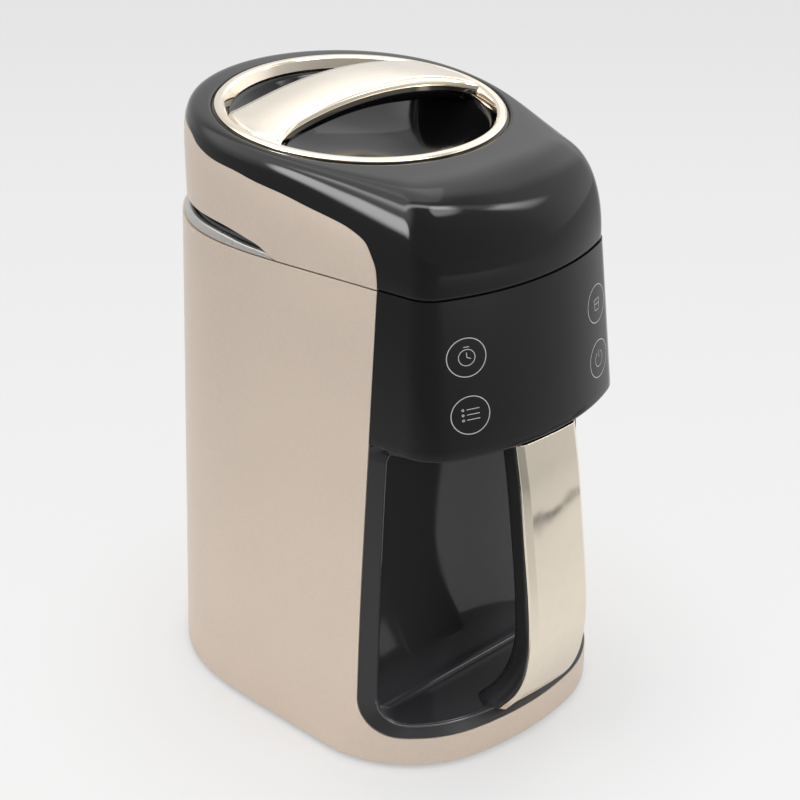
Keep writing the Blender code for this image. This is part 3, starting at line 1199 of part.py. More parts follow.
def drive_line(head, rotor, shaft_top):
    """The shaft with its seal, sleeve and bush, and the blade and nut at its end."""
    at = (0, CUP_Y, 0)
    bore = SHAFT_RADIUS + SHAFT_GAP
    add("drive_shaft", turned(rod(SHAFT_RADIUS, SHAFT_BOTTOM_Z, shaft_top)), STEEL, rotor)
    seal_top = HOUSING_BOTTOM_Z - SEAT_GAP
    seal = tube(bore, SHAFT_SEAL_RADIUS, seal_top - SHAFT_SEAL_HEIGHT, seal_top)
    add("shaft_seal", turned(seal), RUBBER, head, at)
    cup_floor = HOUSING_BOTTOM_Z - SLEEVE_CUP_HEIGHT
    cup_inner = SHAFT_SEAL_RADIUS + SEAT_GAP
    profile = [(SLEEVE_RADIUS, SLEEVE_BOTTOM_Z), (SLEEVE_RADIUS, cup_floor - SLEEVE_WALL),
               (cup_inner + SLEEVE_WALL, cup_floor - SLEEVE_WALL), (cup_inner + SLEEVE_WALL, seal_top - SLEEVE_WALL),
               (SLEEVE_FLANGE_RADIUS, seal_top - SLEEVE_WALL), (SLEEVE_FLANGE_RADIUS, seal_top),
               (cup_inner, seal_top), (cup_inner, cup_floor), (SLEEVE_RADIUS - SLEEVE_WALL, cup_floor),
               (SLEEVE_RADIUS - SLEEVE_WALL, SLEEVE_BOTTOM_Z)]
    add("shaft_sleeve", turned(profile), STEEL, head, at)
    bush = tube(bore, SLEEVE_RADIUS - SLEEVE_WALL - SEAT_GAP, SLEEVE_BOTTOM_Z, SLEEVE_BOTTOM_Z + BUSH_HEIGHT)
    add("sleeve_bush", turned(bush), BRASS, head, at)
    hub_top = SLEEVE_BOTTOM_Z - BLADE_GAP
    hub_low = hub_top - BLADE_HUB_HEIGHT
    blade = add("blade", turned(tube(bore, BLADE_HUB_RADIUS, hub_low, hub_top)), STEEL, rotor)
    middle = (hub_low + hub_top) / 2
    join(blade, helper("lower_wing", blade_wing(middle, 0, -BLADE_TIP_DROP), rotor))
    join(blade, helper("upper_wing", blade_wing(middle, math.pi / 2, BLADE_TIP_DROP), rotor))
    cut(blade, helper("blade_bore", turned(rod(bore, hub_low - OVERRUN, hub_top + OVERRUN)), rotor))
    nut_top = hub_low - SEAT_GAP
    corner = bore / math.cos(math.pi / 6)
    nut = tube(corner, NUT_RADIUS, nut_top - NUT_HEIGHT, nut_top)
    add("blade_nut", turned(nut, segments=6), STEEL, rotor)


def blade_wing(z, turn, bend):
    """A strip through the hub, with both of its tips bent up or down."""
    rows = []
    half, flat, thick = BLADE_SPAN / 2, BLADE_HUB_RADIUS, BLADE_THICKNESS / 2
    spin = Euler((0, 0, turn)).to_matrix()
    for x in (-half, -flat, flat, half):
        tip = abs(x) > flat
        lift = bend if tip else 0
        width = BLADE_WIDTH / 4 if tip else BLADE_WIDTH / 2
        corners = [(x, -width, z + lift - thick), (x, width, z + lift - thick),
                   (x, width, z + lift + thick), (x, -width, z + lift + thick)]
        rows.append([spin @ Vector(corner) for corner in corners])
    return loft(rows)


def probes(head):
    """The overflow and temperature probes, which hang from the head base into the cup."""
    top = HEAD_BASE_Z - SEAT_GAP
    rows = [("overflow_probe", OVERFLOW_PROBE_LENGTH, OVERFLOW_PROBE_ANGLE),
            ("temperature_probe", TEMPERATURE_PROBE_LENGTH, TEMPERATURE_PROBE_ANGLE)]
    for name, length, angle in rows:
        place = (PROBE_RING_RADIUS * math.cos(angle), CUP_Y + PROBE_RING_RADIUS * math.sin(angle), 0)
        add(name, turned(rod(PROBE_RADIUS, top - length, top)), STEEL, head, place)


def coupler_plug(head):
    """The head's half of the coupler, with its contact blades."""
    top = HEAD_BASE_Z - SEAT_GAP
    low = top - COUPLER_PLUG_HEIGHT
    half_x, half_y = COUPLER_WIDTH / 2, COUPLER_DEPTH / 2
    body = span_block((-half_x, -COUPLER_REACH - half_y, low), (half_x, -COUPLER_REACH + half_y, top))
    plug = add("coupler_plug", body, BLACK_PLASTIC, head)
    join(plug, helper("contact_blades", contact_blocks(0, low + JOIN_OVERLAP), head))


def build():
    clear_scene()
    front = -(HANDLE_BULGE_REACH + STRIP_CROWN)
    back = BASE_BACK_Y + BASE_BACK_RADIUS
    machine = empty("machine", None, (0, -(front + back) / 2, FOOT_DROP))
    jug = empty("jug", machine)
    head = empty("head", machine)
    rotor = empty("rotor", head, (0, CUP_Y, 0))
    holes = screw_holes(jug)
    jug_shell(jug, holes)
    base_cover(jug, holes)
    feet_and_screws(jug)
    well_liner(jug, holes)
    handle_strip(jug)
    handle_core(jug)
    control_panel(jug)
    controls(jug)
    jug_rim(jug)
    steel_cup(jug)
    heater(jug)
    power_board(jug)
    mains_inlet(jug)
    coupler_socket(jug)
    head_casing(head)
    ring_and_bowl(head)
    carry_bar(head)
    head_base(head)
    shaft_top = motor(head, rotor)
    drive_line(head, rotor, shaft_top)
    probes(head)
    coupler_plug(head)


build()
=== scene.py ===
"""A countertop soy milk maker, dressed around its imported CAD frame.

Lengths are metres. Heights count from the shell's lower edge and depths from the middle of the jug's
footprint, as the machine's maker would measure them; seat() moves a finished mesh onto the frame.
"""

import math

import bmesh
import bpy
import numpy as np
from bpy.props import FloatProperty, FloatVectorProperty, IntProperty, PointerProperty
from mathutils import Matrix, Vector


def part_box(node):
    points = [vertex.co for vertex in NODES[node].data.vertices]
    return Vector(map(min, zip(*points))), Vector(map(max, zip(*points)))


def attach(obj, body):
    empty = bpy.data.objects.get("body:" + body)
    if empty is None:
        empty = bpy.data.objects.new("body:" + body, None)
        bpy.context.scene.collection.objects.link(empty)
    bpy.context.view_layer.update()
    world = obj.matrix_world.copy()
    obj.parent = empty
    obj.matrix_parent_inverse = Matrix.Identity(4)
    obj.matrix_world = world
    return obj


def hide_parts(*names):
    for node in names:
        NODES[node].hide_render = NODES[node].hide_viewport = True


bl_info = {
    "name": "Soy Milk Maker",
    "version": (1, 0, 0),
    "blender": (4, 5, 0),
    "location": "3D View > Sidebar > Soy Milk Maker",
    "description": "Makes the pieces of a countertop soy milk maker and its studio",
    "category": "Add Mesh",
}

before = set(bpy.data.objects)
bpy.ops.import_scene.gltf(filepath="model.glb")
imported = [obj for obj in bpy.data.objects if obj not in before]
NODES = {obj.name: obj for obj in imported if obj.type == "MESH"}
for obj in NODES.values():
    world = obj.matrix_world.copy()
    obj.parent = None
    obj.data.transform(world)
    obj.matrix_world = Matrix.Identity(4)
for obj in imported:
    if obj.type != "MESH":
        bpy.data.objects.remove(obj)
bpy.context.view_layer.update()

# Where the frame stands
CUP_Y = 0.014
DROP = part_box("jug_shell")[0].z
SHIFT = (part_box("inner_cup")[0].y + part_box("inner_cup")[1].y) / 2 - CUP_Y

# Plans: back radius, depth of the back's centre, half width and depth of the front, front and corner radius
BASE_PLAN = np.array((0.0898, 0.0234, 0.0788, -0.1127, 0.164, 0.064))
TOP_PLAN = np.array((0.0835, 0.0178, 0.0558, -0.1094, 0.126, 0.0167))
HEAD_PLAN = np.array((0.0829, 0.0152, 0.0558, -0.1094, 0.126, 0.0167))
PANEL_FRONT = (0.061, -0.1188, 0.13, 0.023)
BACK_BLEND = math.radians(26)
SIDE_BLEND = 0.034

# Jug
PARTING_Z = 0.2485
SEAM = 0.0006
SEAT_GAP = 0.0003
SHELL_WALL = 0.0024
WINDOW_EDGE_Y = -0.0703
BAND_TOP_Z = 0.0158
WINDOW_CORNER = 0.02
PANEL_BOTTOM_Z = 0.1729
PANEL_ROUND = 0.0016
MOUTH_EDGE_Y = -0.0762
MOUTH_BEVEL = 0.0045
MOUTH_CORNER = 0.014
MOUTH_TOP_Z = 0.169
MOUTH_TOP_CORNER = 0.005
WELL_FLOOR_Z = 0.0202
WELL_BACK_Y = -0.0705
WELL_CORNER = 0.006
LIP_BEAD_RADIUS = 0.0008
LIP_BEAD_RISE = 0.004
WELL_FILLET = 0.005
LINER_STEP = 0.0004

# Handle
HANDLE_FOOT_Z = WELL_FLOOR_Z + SEAT_GAP
HANDLE_TOP_Z = PANEL_BOTTOM_Z - SEAT_GAP
HANDLE_FOOT_REACH = 0.1125
HANDLE_BULGE_REACH = 0.1322
HANDLE_DEPTH = 0.016
HANDLE_FRONT = ((0, 0), (0.096, 0.559), (0.177, 0.839), (0.257, 0.9645), (0.3445, 1), (0.479, 0.9155),
                (0.647, 0.737), (0.848, 0.5125), (1, 0.2795))
HANDLE_DEPTHS = ((0, 1.2), (0.1, 1.15), (0.18, 1.12), (0.27, 1.04), (0.34, 1.01), (0.43, 1), (0.6, 0.97),
                 (0.8, 0.97), (1, 0.95))
STRIP_FACET = 0.0022
STRIP_CROWN = 0.0006
STRIP_THICKNESS = 0.0016
CORE_CORNER = 0.006
CORE_FLARE = 0.0015

# Rim, lip and cup
RIM_DECK_Z = 0.2446
LIP_STEP = 0.0008
LIP_WALL = 0.0024
LIP_TOP_Z = 0.2532
# How far the lip stands above the parting line at each depth, from its front end back
LIP_RISES = ((-0.0125, -0.0003), (-0.0085, 0.0022), (-0.0034, 0.0027), (0.0039, 0.003), (0.0112, 0.0035),
             (0.0185, 0.0042), (0.0295, 0.0047))
CUP_AXIS = (0, CUP_Y, 0)
CUP_RADIUS = 0.06
CUP_WALL = 0.001
CUP_BOTTOM_Z = 0.045
CUP_FILLET = 0.02
CUP_FLANGE = 0.0045
CUP_FLANGE_Z = 0.2466

# Head
HEAD_BOTTOM_Z = 0.2488
# How far the head's lower edge stands above the parting line at each depth, from the slit's front end back
SLIT_RISES = ((-0.0145, 0.0003), (-0.0107, 0.0019), (-0.007, 0.0041), (-0.0034, 0.0056), (0.0039, 0.0073),
              (0.0112, 0.0087), (0.0185, 0.0096), (0.0295, 0.01))
CAN_RADIUS = 0.044
SHAFT_RADIUS = 0.004
HUB_RADIUS = 0.0075
BLADE_Z = 0.08
BLADE_REACH = 0.024
BLADE_BEND = 0.006
NUT_RADIUS = 0.0067
PROBE_RADIUS = 0.0025
PROBE_CIRCLE = 0.0497
PROBE_TOP_Z = 0.2489
DOME_STEP = 0.0005
DOME_ANGLES = (0, 42, 85, 180)
DOME_RUN_POWERS = (3.2, 5.2, 3.1, 8)
DOME_RISE_POWERS = (2, 2, 4.4, 12)
DOME_EDGE_RADIUS = 0.072
DOME_EDGE_DROP = 0.0004
RING_Y = 0.0116
RING_Z = 0.2992
RING_TILT = math.radians(3.7)
# Depth and height of points on the painted band's upper edge, from the back to its front foot
BAND_EDGE = ((0.1, 0.2962), (0.075, 0.2958), (0.058, 0.2952), (0.0465, 0.2938), (0.039, 0.2908),
             (0.0256, 0.2878), (0.009, 0.2862), (-0.0024, 0.2842), (-0.0185, 0.2818), (-0.032, 0.2788),
             (-0.047, 0.2757), (-0.0546, 0.2736), (-0.0627, 0.2695), (-0.0665, 0.264), (-0.069, 0.2585),
             (-0.0698, 0.253), (-0.07, 0.2488))


def length(name, description, default, precision=4, **limits):
    return FloatProperty(name=name, description=description, default=default, precision=precision,
                         unit="LENGTH", **limits)


def tint(name, description, default):
    return FloatVectorProperty(name=name, description=description, default=default, subtype="COLOR",
                               min=0, max=1)


def strength(name, description, default):
    return FloatProperty(name=name, description=description, default=default, min=0)


class MilkMakerSizes(bpy.types.PropertyGroup):
    """Sizes that change the machine's details and leave its frame alone"""

    edge_round: length("Shell edge", "Width of the bright rounded edge of the painted shell", 0.0005, 5,
                       min=0.0001, max=0.002)
    band_stand: length("Band proud", "How far the painted side band stands proud of the dome", 0.0002, 5,
                       min=0.0, max=0.001)
    ring_radius: length("Ring radius", "Outer radius of the plated ring on top",
                        (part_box("top_ring")[1].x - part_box("top_ring")[0].x) / 2)
    ring_width: length("Ring width", "Width of the flat of the plated ring", 0.0048)
    bar_rise: length("Bar rise", "How far the carry bar arches above the ring", 0.0105)
    strip_width: length("Strip width", "Width of the plated strip on the handle",
                        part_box("handle_strip")[1].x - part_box("handle_strip")[0].x)
    strip_face: length("Strip face", "Width of the strip's flat face between its facets", 0.033)
    key_radius: length("Key ring", "Radius of the printed ring round each touch key", 0.009)
    print_line: length("Printed line", "Width of the printed lines on the control panel", 0.00042, 5)
    foot_radius: length("Foot radius", "Radius of the rubber feet", 0.007)
    vent_count: IntProperty(
        name="Air slots", description="Number of air slots under the base", default=9, min=1, max=15)


class MilkMakerColours(bpy.types.PropertyGroup):
    """Colours of the finishes"""

    champagne: tint("Champagne paint", "Satin paint of the shell and the side band", (0.69, 0.58, 0.485))
    piano_black: tint("Piano black", "Gloss plastic of the dome and the panel", (0.0065, 0.0065, 0.0074))
    frame_grey: tint("Frame grey", "Satin frame round the well", (0.022, 0.022, 0.024))
    pale_gold: tint("Pale gold", "Plating of the ring, the bar and the handle", (0.93, 0.835, 0.7))
    rim_grey: tint("Rim grey", "Silver-grey paint of the rim and its lip", (0.5, 0.49, 0.47))
    steel: tint("Steel", "Brushed stainless steel of the cup and the drive", (0.62, 0.61, 0.6))
    print_grey: tint("Print grey", "Ink of the touch keys", (0.42, 0.42, 0.43))
    base_brown: tint("Base brown", "Moulded plastic of the base pan", (0.06, 0.042, 0.034))
    floor: tint("Floor", "Pale floor and backdrop", (0.86, 0.86, 0.86))


class MilkMakerStudio(bpy.types.PropertyGroup):
    """Light and camera of the studio"""

    lens: FloatProperty(name="Lens", description="Focal length of the camera", default=81.1, unit="CAMERA")
    daylight: strength("Fill light", "Strength of the light from all round", 0.86)
    softbox: strength("Overhead softbox", "Power of the large lamp above, in watts", 3.0)
    front_light: strength("Front fill", "Power of the lamp before the machine, in watts", 5.0)
    side_light: strength("Side lamp", "Power of the lamp at the left, in watts", 0.5)


# Numbers and curves

def lerp(a, b, share):
    return a + (b - a) * share


def smooth(share):
    share = np.clip(share, 0, 1)
    return share * share * (3 - 2 * share)


def through(knots, at):
    """A smooth curve through (place, value) knots, read at an array of places."""
    places, values = np.array(knots, float).T
    ahead, behind = np.append(places[1:], places[-1]), np.append(places[0], places[:-1])
    slopes = (np.append(values[1:], values[-1]) - np.append(values[0], values[:-1])) / (ahead - behind)
    at = np.clip(at, places[0], places[-1])
    k = np.clip(np.searchsorted(places, at, side="right") - 1, 0, len(places) - 2)
    span = places[k + 1] - places[k]
    t = (at - places[k]) / span
    return ((2 * t**3 - 3 * t**2 + 1) * values[k] + (t**3 - 2 * t**2 + t) * slopes[k] * span
            + (3 * t**2 - 2 * t**3) * values[k + 1] + (t**3 - t**2) * slopes[k + 1] * span)


def run_lengths(points):
    steps = np.linalg.norm(np.diff(points, axis=0), axis=1)
    return np.concatenate([[0], np.cumsum(steps)])


def resampled(points, count):
    """The same line with its points evenly spaced."""
    runs = run_lengths(points)
    at = np.linspace(0, runs[-1], count)
    return np.stack([np.interp(at, runs, column) for column in points.T], axis=1)


def polyline(points, count):
    """A smooth line through points, evenly spaced."""
    points = np.array(points, float)
    runs = run_lengths(points)
    at = np.linspace(0, runs[-1], 8 * count)
    columns = [through(np.stack([runs, column], axis=1), at) for column in points.T]
    return resampled(np.stack(columns, axis=1), count)


def arc_points(centre, radius, first, last, count):
    turns = np.linspace(first, last, count)
    return np.array(centre) + radius * np.stack([np.cos(turns), np.sin(turns)], axis=1)


def rounded(corners, radius, steps=5, closed=True):
    """A polygon of 2D points with each corner rounded by an arc."""
    corners = [np.array(corner, float) for corner in corners]
    count = len(corners)
    outline = []
    for i, corner in enumerate(corners):
        if not closed and i in (0, count - 1):
            outline.append(corner)
            continue
        to_last = corners[i - 1] - corner
        to_next = corners[(i + 1) % count] - corner
        reach = min(np.linalg.norm(to_last), np.linalg.norm(to_next))
        to_last, to_next = to_last / np.linalg.norm(to_last), to_next / np.linalg.norm(to_next)
        half = math.acos(np.clip(to_last @ to_next, -1, 1)) / 2
        cut = min(radius / math.tan(half), reach * 0.48) if half < 1.5 else 0
        if cut < 1e-6:
            outline.append(corner)
            continue
        for t in np.linspace(0, 1, steps):
            a, b = corner + to_last * cut, corner + to_next * cut
            outline.append(lerp(lerp(a, corner, t), lerp(corner, b, t), t))
    return outline


def rectangle(half_x, half_y):
    return (-half_x, -half_y), (half_x, -half_y), (half_x, half_y), (-half_x, half_y)


def wall_between(inner, outer, low, high):
    """The profile of a plain ring, or of a disc where inner is zero."""
    return [(inner, low), (outer, low), (outer, high), (inner, high)]


# The machine's outlines

def body_plan(z):
    return lerp(BASE_PLAN, TOP_PLAN, np.clip(z / PARTING_Z, 0, 1))


def panel_plan(z):
    low = body_plan(PANEL_BOTTOM_Z).copy()
    low[2:] = PANEL_FRONT
    return lerp(low, TOP_PLAN, (z - PANEL_BOTTOM_Z) / (PARTING_Z - PANEL_BOTTOM_Z))


def half_outline(plan):
    """Half of a D-shaped outline from the back's middle round to the front's: shares, points and normals."""
    back_radius, back_y, front_half, front_y, front_radius, corner = plan
    start = np.array((back_radius, back_y))
    along = np.array((front_half, front_y)) - start
    along = along / np.linalg.norm(along)
    inward = np.array((along[1], -along[0]))
    front_centre = np.array((0, front_y + front_radius))
    reach = start + inward * corner - front_centre
    slack = (reach @ along) ** 2 - reach @ reach + (front_radius - corner) ** 2
    corner_centre = front_centre + reach + along * (math.sqrt(max(slack, 0)) - reach @ along)
    side_end = corner_centre - inward * corner
    towards = corner_centre - front_centre
    first = math.atan2(-inward[1], -inward[0])
    last = math.atan2(towards[1], towards[0])
    back = arc_points((0, back_y), back_radius, math.pi / 2, BACK_BLEND, 160)
    blend_end = start + along * SIDE_BLEND
    chord = np.linalg.norm(blend_end - back[-1])
    leave = np.array((math.sin(BACK_BLEND), -math.cos(BACK_BLEND))) * chord
    t = np.linspace(0, 1, 60)[:, None]
    blend = ((2 * t**3 - 3 * t**2 + 1) * back[-1] + (t**3 - 2 * t**2 + t) * leave
             + (3 * t**2 - 2 * t**3) * blend_end + (t**3 - t**2) * along * chord)
    side = blend_end + (side_end - blend_end) * np.linspace(0, 1, 50)[:, None]
    turn = arc_points(corner_centre, corner, first, last, 90)
    front = arc_points(front_centre, front_radius, last, -math.pi / 2, 90)
    points = np.concatenate([back, blend[1:], side[1:], turn[1:], front[1:]])
    runs = run_lengths(points)
    tangents = np.gradient(points, runs, axis=0)
    tangents[0], tangents[-1] = (1, 0), (-1, 0)
    normals = np.stack([-tangents[:, 1], tangents[:, 0]], axis=1)
    normals /= np.linalg.norm(normals, axis=1)[:, None]
    return runs / runs[-1], points, normals


def on_outline(plan, shares, inset=0.0):
    """Points of a half outline at shares of its length, moved inwards by inset."""
    places, points, normals = half_outline(plan)
    moved = points - normals * inset
    return np.stack([np.interp(shares, places, moved[:, axis]) for axis in (0, 1)], axis=1)


def share_at(plan, y, inset=0.0):
    """The share of the half outline at which it passes depth y."""
    places, points, normals = half_outline(plan)
    return np.interp(-np.array(y), -(points - normals * inset)[:, 1], places)


def half_width(plan, y, inset=0.0):
    _, points, normals = half_outline(plan)
    moved = points - normals * inset
    return np.interp(-np.array(y), -moved[:, 1], moved[:, 0])


def level_row(plan, shares, z, inset=0.0):
    points = on_outline(plan, shares, inset)
    return np.column_stack([points, np.broadcast_to(z, len(points))])


def edge_y(z, edge, floor, corner):
    """The depth of an upright edge at height z, with its round lower corner."""
    sink = np.clip(floor + corner - z, 0, corner)
    return edge - corner + np.sqrt(corner**2 - sink**2)


def mouth_half(z, y):
    """Half the width of the well's mouth at height z and depth y, with its round upper corner."""
    climb = np.clip(z - (MOUTH_TOP_Z - MOUTH_TOP_CORNER), 0, MOUTH_TOP_CORNER)
    cut = MOUTH_TOP_CORNER - np.sqrt(MOUTH_TOP_CORNER**2 - climb**2)
    return half_width(body_plan(z), y, MOUTH_BEVEL) - cut


# Meshes

def seat(points):
    """Points of the machine in the frame's own place."""
    return np.array(points, float) + (0, SHIFT, DROP)


def unseat(piece):
    """Takes the frame's shift off a piece that is made about the origin."""
    piece.data.transform(Matrix.Translation((0, -SHIFT, -DROP)))
    return piece


def object_of(name, mesh):
    piece = bpy.data.objects.new(name, mesh)
    bpy.context.scene.collection.objects.link(piece)
    return piece


def grid_faces(rows, columns, start=0, wrap=False):
    faces = []
    for i in range(rows - 1):
        for j in range(columns if wrap else columns - 1):
            a, b = start + i * columns + j, start + i * columns + (j + 1) % columns
            faces.append((a, b, b + columns, a + columns))
    return faces


def clean_mesh(name, points, faces, merge=2e-6):
    """A mesh with its doubles merged and its faces turned outwards."""
    mesh = bpy.data.meshes.new(name)
    mesh.from_pydata(seat(points).tolist(), [], faces)
    shape = bmesh.new()
    shape.from_mesh(mesh)
    bmesh.ops.remove_doubles(shape, verts=shape.verts, dist=merge)
    bmesh.ops.dissolve_degenerate(shape, dist=merge / 2, edges=shape.edges)
    bmesh.ops.recalc_face_normals(shape, faces=shape.faces)
    middle = sum((v.co for v in shape.verts), Vector()) / max(len(shape.verts), 1)
    outward = sum(f.calc_area() * f.normal.dot(f.calc_center_median() - middle) for f in shape.faces)
    if outward < 0:
        bmesh.ops.reverse_faces(shape, faces=shape.faces)
    shape.to_mesh(mesh)
    shape.free()
    mesh.shade_smooth()
    return mesh


def half_sheets(name, *grids):
    """An open sheet from grids of points on the right, with their mirror images on the left."""
    points, faces, start = [], [], 0
    for grid in grids:
        rows, columns = grid.shape[:2]
        for side in (1, -1):
            points.append(grid.reshape(-1, 3) * (side, 1, 1))
            made = grid_faces(rows, columns, start)
            faces += made if side > 0 else [face[::-1] for face in made]
            start += rows * columns
    return object_of(name, clean_mesh(name, np.concatenate(points), faces))


def turned(name, profile, segments=96, centre=(0, 0, 0)):
    """A profile of (radius, height) turned about an upright line. It is closed by its poles or by itself."""
    profile = np.array(profile, float)
    turns = np.linspace(0, 2 * math.pi, segments, endpoint=False)
    ring = np.stack([np.cos(turns), np.sin(turns)], axis=1)
    points = np.concatenate([np.column_stack([ring * r, np.full(segments, z)]) for r, z in profile])
    rows = len(profile)
    faces = grid_faces(rows, segments, wrap=True)
    if profile[0][0] > 0:
        last = (rows - 1) * segments
        faces += [(last + j, last + (j + 1) % segments, (j + 1) % segments, j) for j in range(segments)]
    return object_of(name, clean_mesh(name, points + centre, faces))


def lofted(name, rings):
    """A solid through rings of points, with flat ends."""
    rings = np.array(rings, float)
    rows, columns = rings.shape[:2]
    faces = grid_faces(rows, columns, wrap=True)
    faces += [tuple(range(columns)), tuple(range((rows - 1) * columns, rows * columns))]
    return object_of(name, clean_mesh(name, rings.reshape(-1, 3), faces))


def block(name, low, high):
    low, high = np.array(low, float), np.array(high, float)
    corners = [(x, y, z) for z in (0, 1) for x, y in ((0, 0), (1, 0), (1, 1), (0, 1))]
    rings = (low + (high - low) * np.array(corners)).reshape(2, 4, 3)
    return lofted(name, rings)


def thicken(piece, wall, outwards=0.0):
    """Gives a sheet its wall. outwards is the share of the wall that grows out of the sheet."""
    step = piece.modifiers.new("wall", "SOLIDIFY")
    step.thickness = wall
    step.offset = 2 * outwards - 1
    step.use_even_offset = True
    return piece


def ease(piece, width, steps=2, angle=38):
    """Rounds the sharp edges."""
    step = piece.modifiers.new("edges", "BEVEL")
    step.width = width
    step.segments = steps
    step.limit_method = "ANGLE"
    step.angle_limit = math.radians(angle)
    step.harden_normals = True
    step.use_clamp_overlap = True
    return piece


def combine(piece, operation, *others):
    for other in others:
        step = piece.modifiers.new(operation.lower(), "BOOLEAN")
        step.operation = operation
        step.solver = "EXACT"
        step.object = other
    return piece


def settle(piece):
    """Turns a piece with its modifiers into one plain mesh."""
    graph = bpy.context.evaluated_depsgraph_get()
    mesh = bpy.data.meshes.new_from_object(piece.evaluated_get(graph), depsgraph=graph)
    piece.modifiers.clear()
    old = piece.data
    piece.data = mesh
    bpy.data.meshes.remove(old)
    return piece


def discard(*helpers):
    for helper in helpers:
        mesh = helper.data
        bpy.data.objects.remove(helper)
        bpy.data.meshes.remove(mesh)


def merged(name, pieces):
    """Several pieces as one."""
    shape = bmesh.new()
    for piece in pieces:
        settle(piece)
        shape.from_mesh(piece.data)
    discard(*pieces)
    mesh = bpy.data.meshes.new(name)
    shape.to_mesh(mesh)
    shape.free()
    return object_of(name, mesh)


def hand_over(piece, body, slot, finish, *nodes):
    """Finishes a piece: plain mesh, material, body and the CAD nodes that it stands for. The slot is not
    used.
    """
    settle(piece)
    piece.data.materials.clear()
    piece.data.materials.append(material(finish))
    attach(piece, body)
    if nodes:
        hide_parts(*nodes)
    return piece


# Shader maths

class Field:
    """A socket that Python's arithmetic works on."""

    def __init__(self, look, socket):
        self.look = look
        self.socket = socket

    def math(self, operation, first, second=0.0):
        return self.look.field("ShaderNodeMath", {"operation": operation}, {0: first, 1: second})

    def __add__(self, other):
        return self.math("ADD", self, other)

    __radd__ = __add__

    def __sub__(self, other):
        return self.math("SUBTRACT", self, other)

    def __rsub__(self, other):
        return self.math("SUBTRACT", other, self)

    def __mul__(self, other):
        return self.math("MULTIPLY", self, other)

    __rmul__ = __mul__

    def at_most(self, other):
        return self.math("MINIMUM", self, other)

    def over(self, other):
        return self.math("GREATER_THAN", self, other)


class Look:
    """A material or a world while its nodes are made."""

    def __init__(self, holder):
        self.holder = holder
        holder.use_nodes = True
        self.tree = holder.node_tree
        self.tree.nodes.clear()

    def node(self, kind, settings=None, sockets=None):
        made = self.tree.nodes.new(kind)
        for name, value in (settings or {}).items():
            if name == "stops":
                for index, (place, colour) in enumerate(value):
                    ramp = made.color_ramp.elements
                    stop = ramp[index] if index < len(ramp) else ramp.new(place)
                    stop.position = place
                    stop.color = colour
            else:
                setattr(made, name, value)
        for name, value in (sockets or {}).items():
            if isinstance(value, Field):
                self.tree.links.new(value.socket, made.inputs[name])
            else:
                made.inputs[name].default_value = value
        return made

    def field(self, kind, settings=None, sockets=None, output=0):
        return Field(self, self.node(kind, settings, sockets).outputs[output])

    def place(self, stretch=(1, 1, 1)):
        """Object coordinates, stretched."""
        return self.field("ShaderNodeMapping", {"vector_type": "POINT"},
                          {"Vector": self.position(), "Scale": stretch})

    def noise(self, scale, detail=3.0, stretch=(1, 1, 1), rough=0.5):
        sockets = {"Vector": self.place(stretch), "Scale": scale, "Detail": detail, "Roughness": rough}
        return self.field("ShaderNodeTexNoise", {"noise_dimensions": "3D"}, sockets)

    def cells(self, scale, feature="F1", stretch=(1, 1, 1), output="Distance"):
        return self.field("ShaderNodeTexVoronoi", {"feature": feature},
                          {"Vector": self.place(stretch), "Scale": scale}, output)

    def position(self):
        return self.field("ShaderNodeTexCoord", output="Object")

    def height_of(self, place):
        return self.field("ShaderNodeSeparateXYZ", {}, {0: place}, 2)

    def dot(self, first, second):
        return self.field("ShaderNodeVectorMath", {"operation": "DOT_PRODUCT"}, {0: first, 1: second}, 1)

    def size(self, value):
        return self.field("ShaderNodeMath", {"operation": "ABSOLUTE"}, {0: value})

    def mix(self, share, first, second):
        """A colour between two others."""
        return self.field("ShaderNodeMix", {"data_type": "RGBA"}, {0: share, 6: first, 7: second}, 2)

    def spread(self, value, low, high, to_low, to_high):
        """The value's run from low to high, laid onto the run between two others and held at its ends."""
        sockets = {"Value": value, "From Min": low, "From Max": high, "To Min": to_low, "To Max": to_high}
        return self.field("ShaderNodeMapRange", {"clamp": True}, sockets)

    def bump(self, height, distance, strength=1.0):
        return self.field("ShaderNodeBump", {},
                          {"Height": height, "Distance": distance, "Strength": strength})

    def shader(self, **sockets):
        names = {name.replace("_", " "): value for name, value in sockets.items()}
        shader = self.node("ShaderNodeBsdfPrincipled", {}, names)
        out = self.node("ShaderNodeOutputMaterial")
        self.tree.links.new(shader.outputs[0], out.inputs[0])
        return self.holder


def shaded(colour, share):
    return (*[min(c * share, 1.0) for c in colour[:3]], 1.0)


def colours():
    return bpy.context.scene.milk_maker_colours


def sizes():
    return bpy.context.scene.milk_maker_sizes


def surface(look, tone, dark, pale, wear, roughness, span=(0.3, 0.7), **rest):
    """A finish whose colour follows one field and whose roughness follows another."""
    return look.shader(Base_Color=look.mix(tone, dark, pale),
                       Roughness=look.spread(wear, *span, *roughness), **rest)


def champagne_paint(look):
    colour = colours().champagne
    flake = look.field("ShaderNodeSeparateColor", {}, {"Color": look.cells(5200, output="Color")})
    cloud = look.noise(22, 2)
    tone = look.spread(flake * 0.7 + cloud * 0.3, 0.2, 0.8, 0, 1)
    peel = look.noise(900, 2)
    return surface(look, tone, shaded(colour, 0.93), shaded(colour, 1.07), peel + cloud, (0.36, 0.44),
                   (0.6, 1.4), Metallic=0.55, Coat_Weight=0.22, Coat_Roughness=0.25,
                   Normal=look.bump(peel, 0.00003, 0.5))


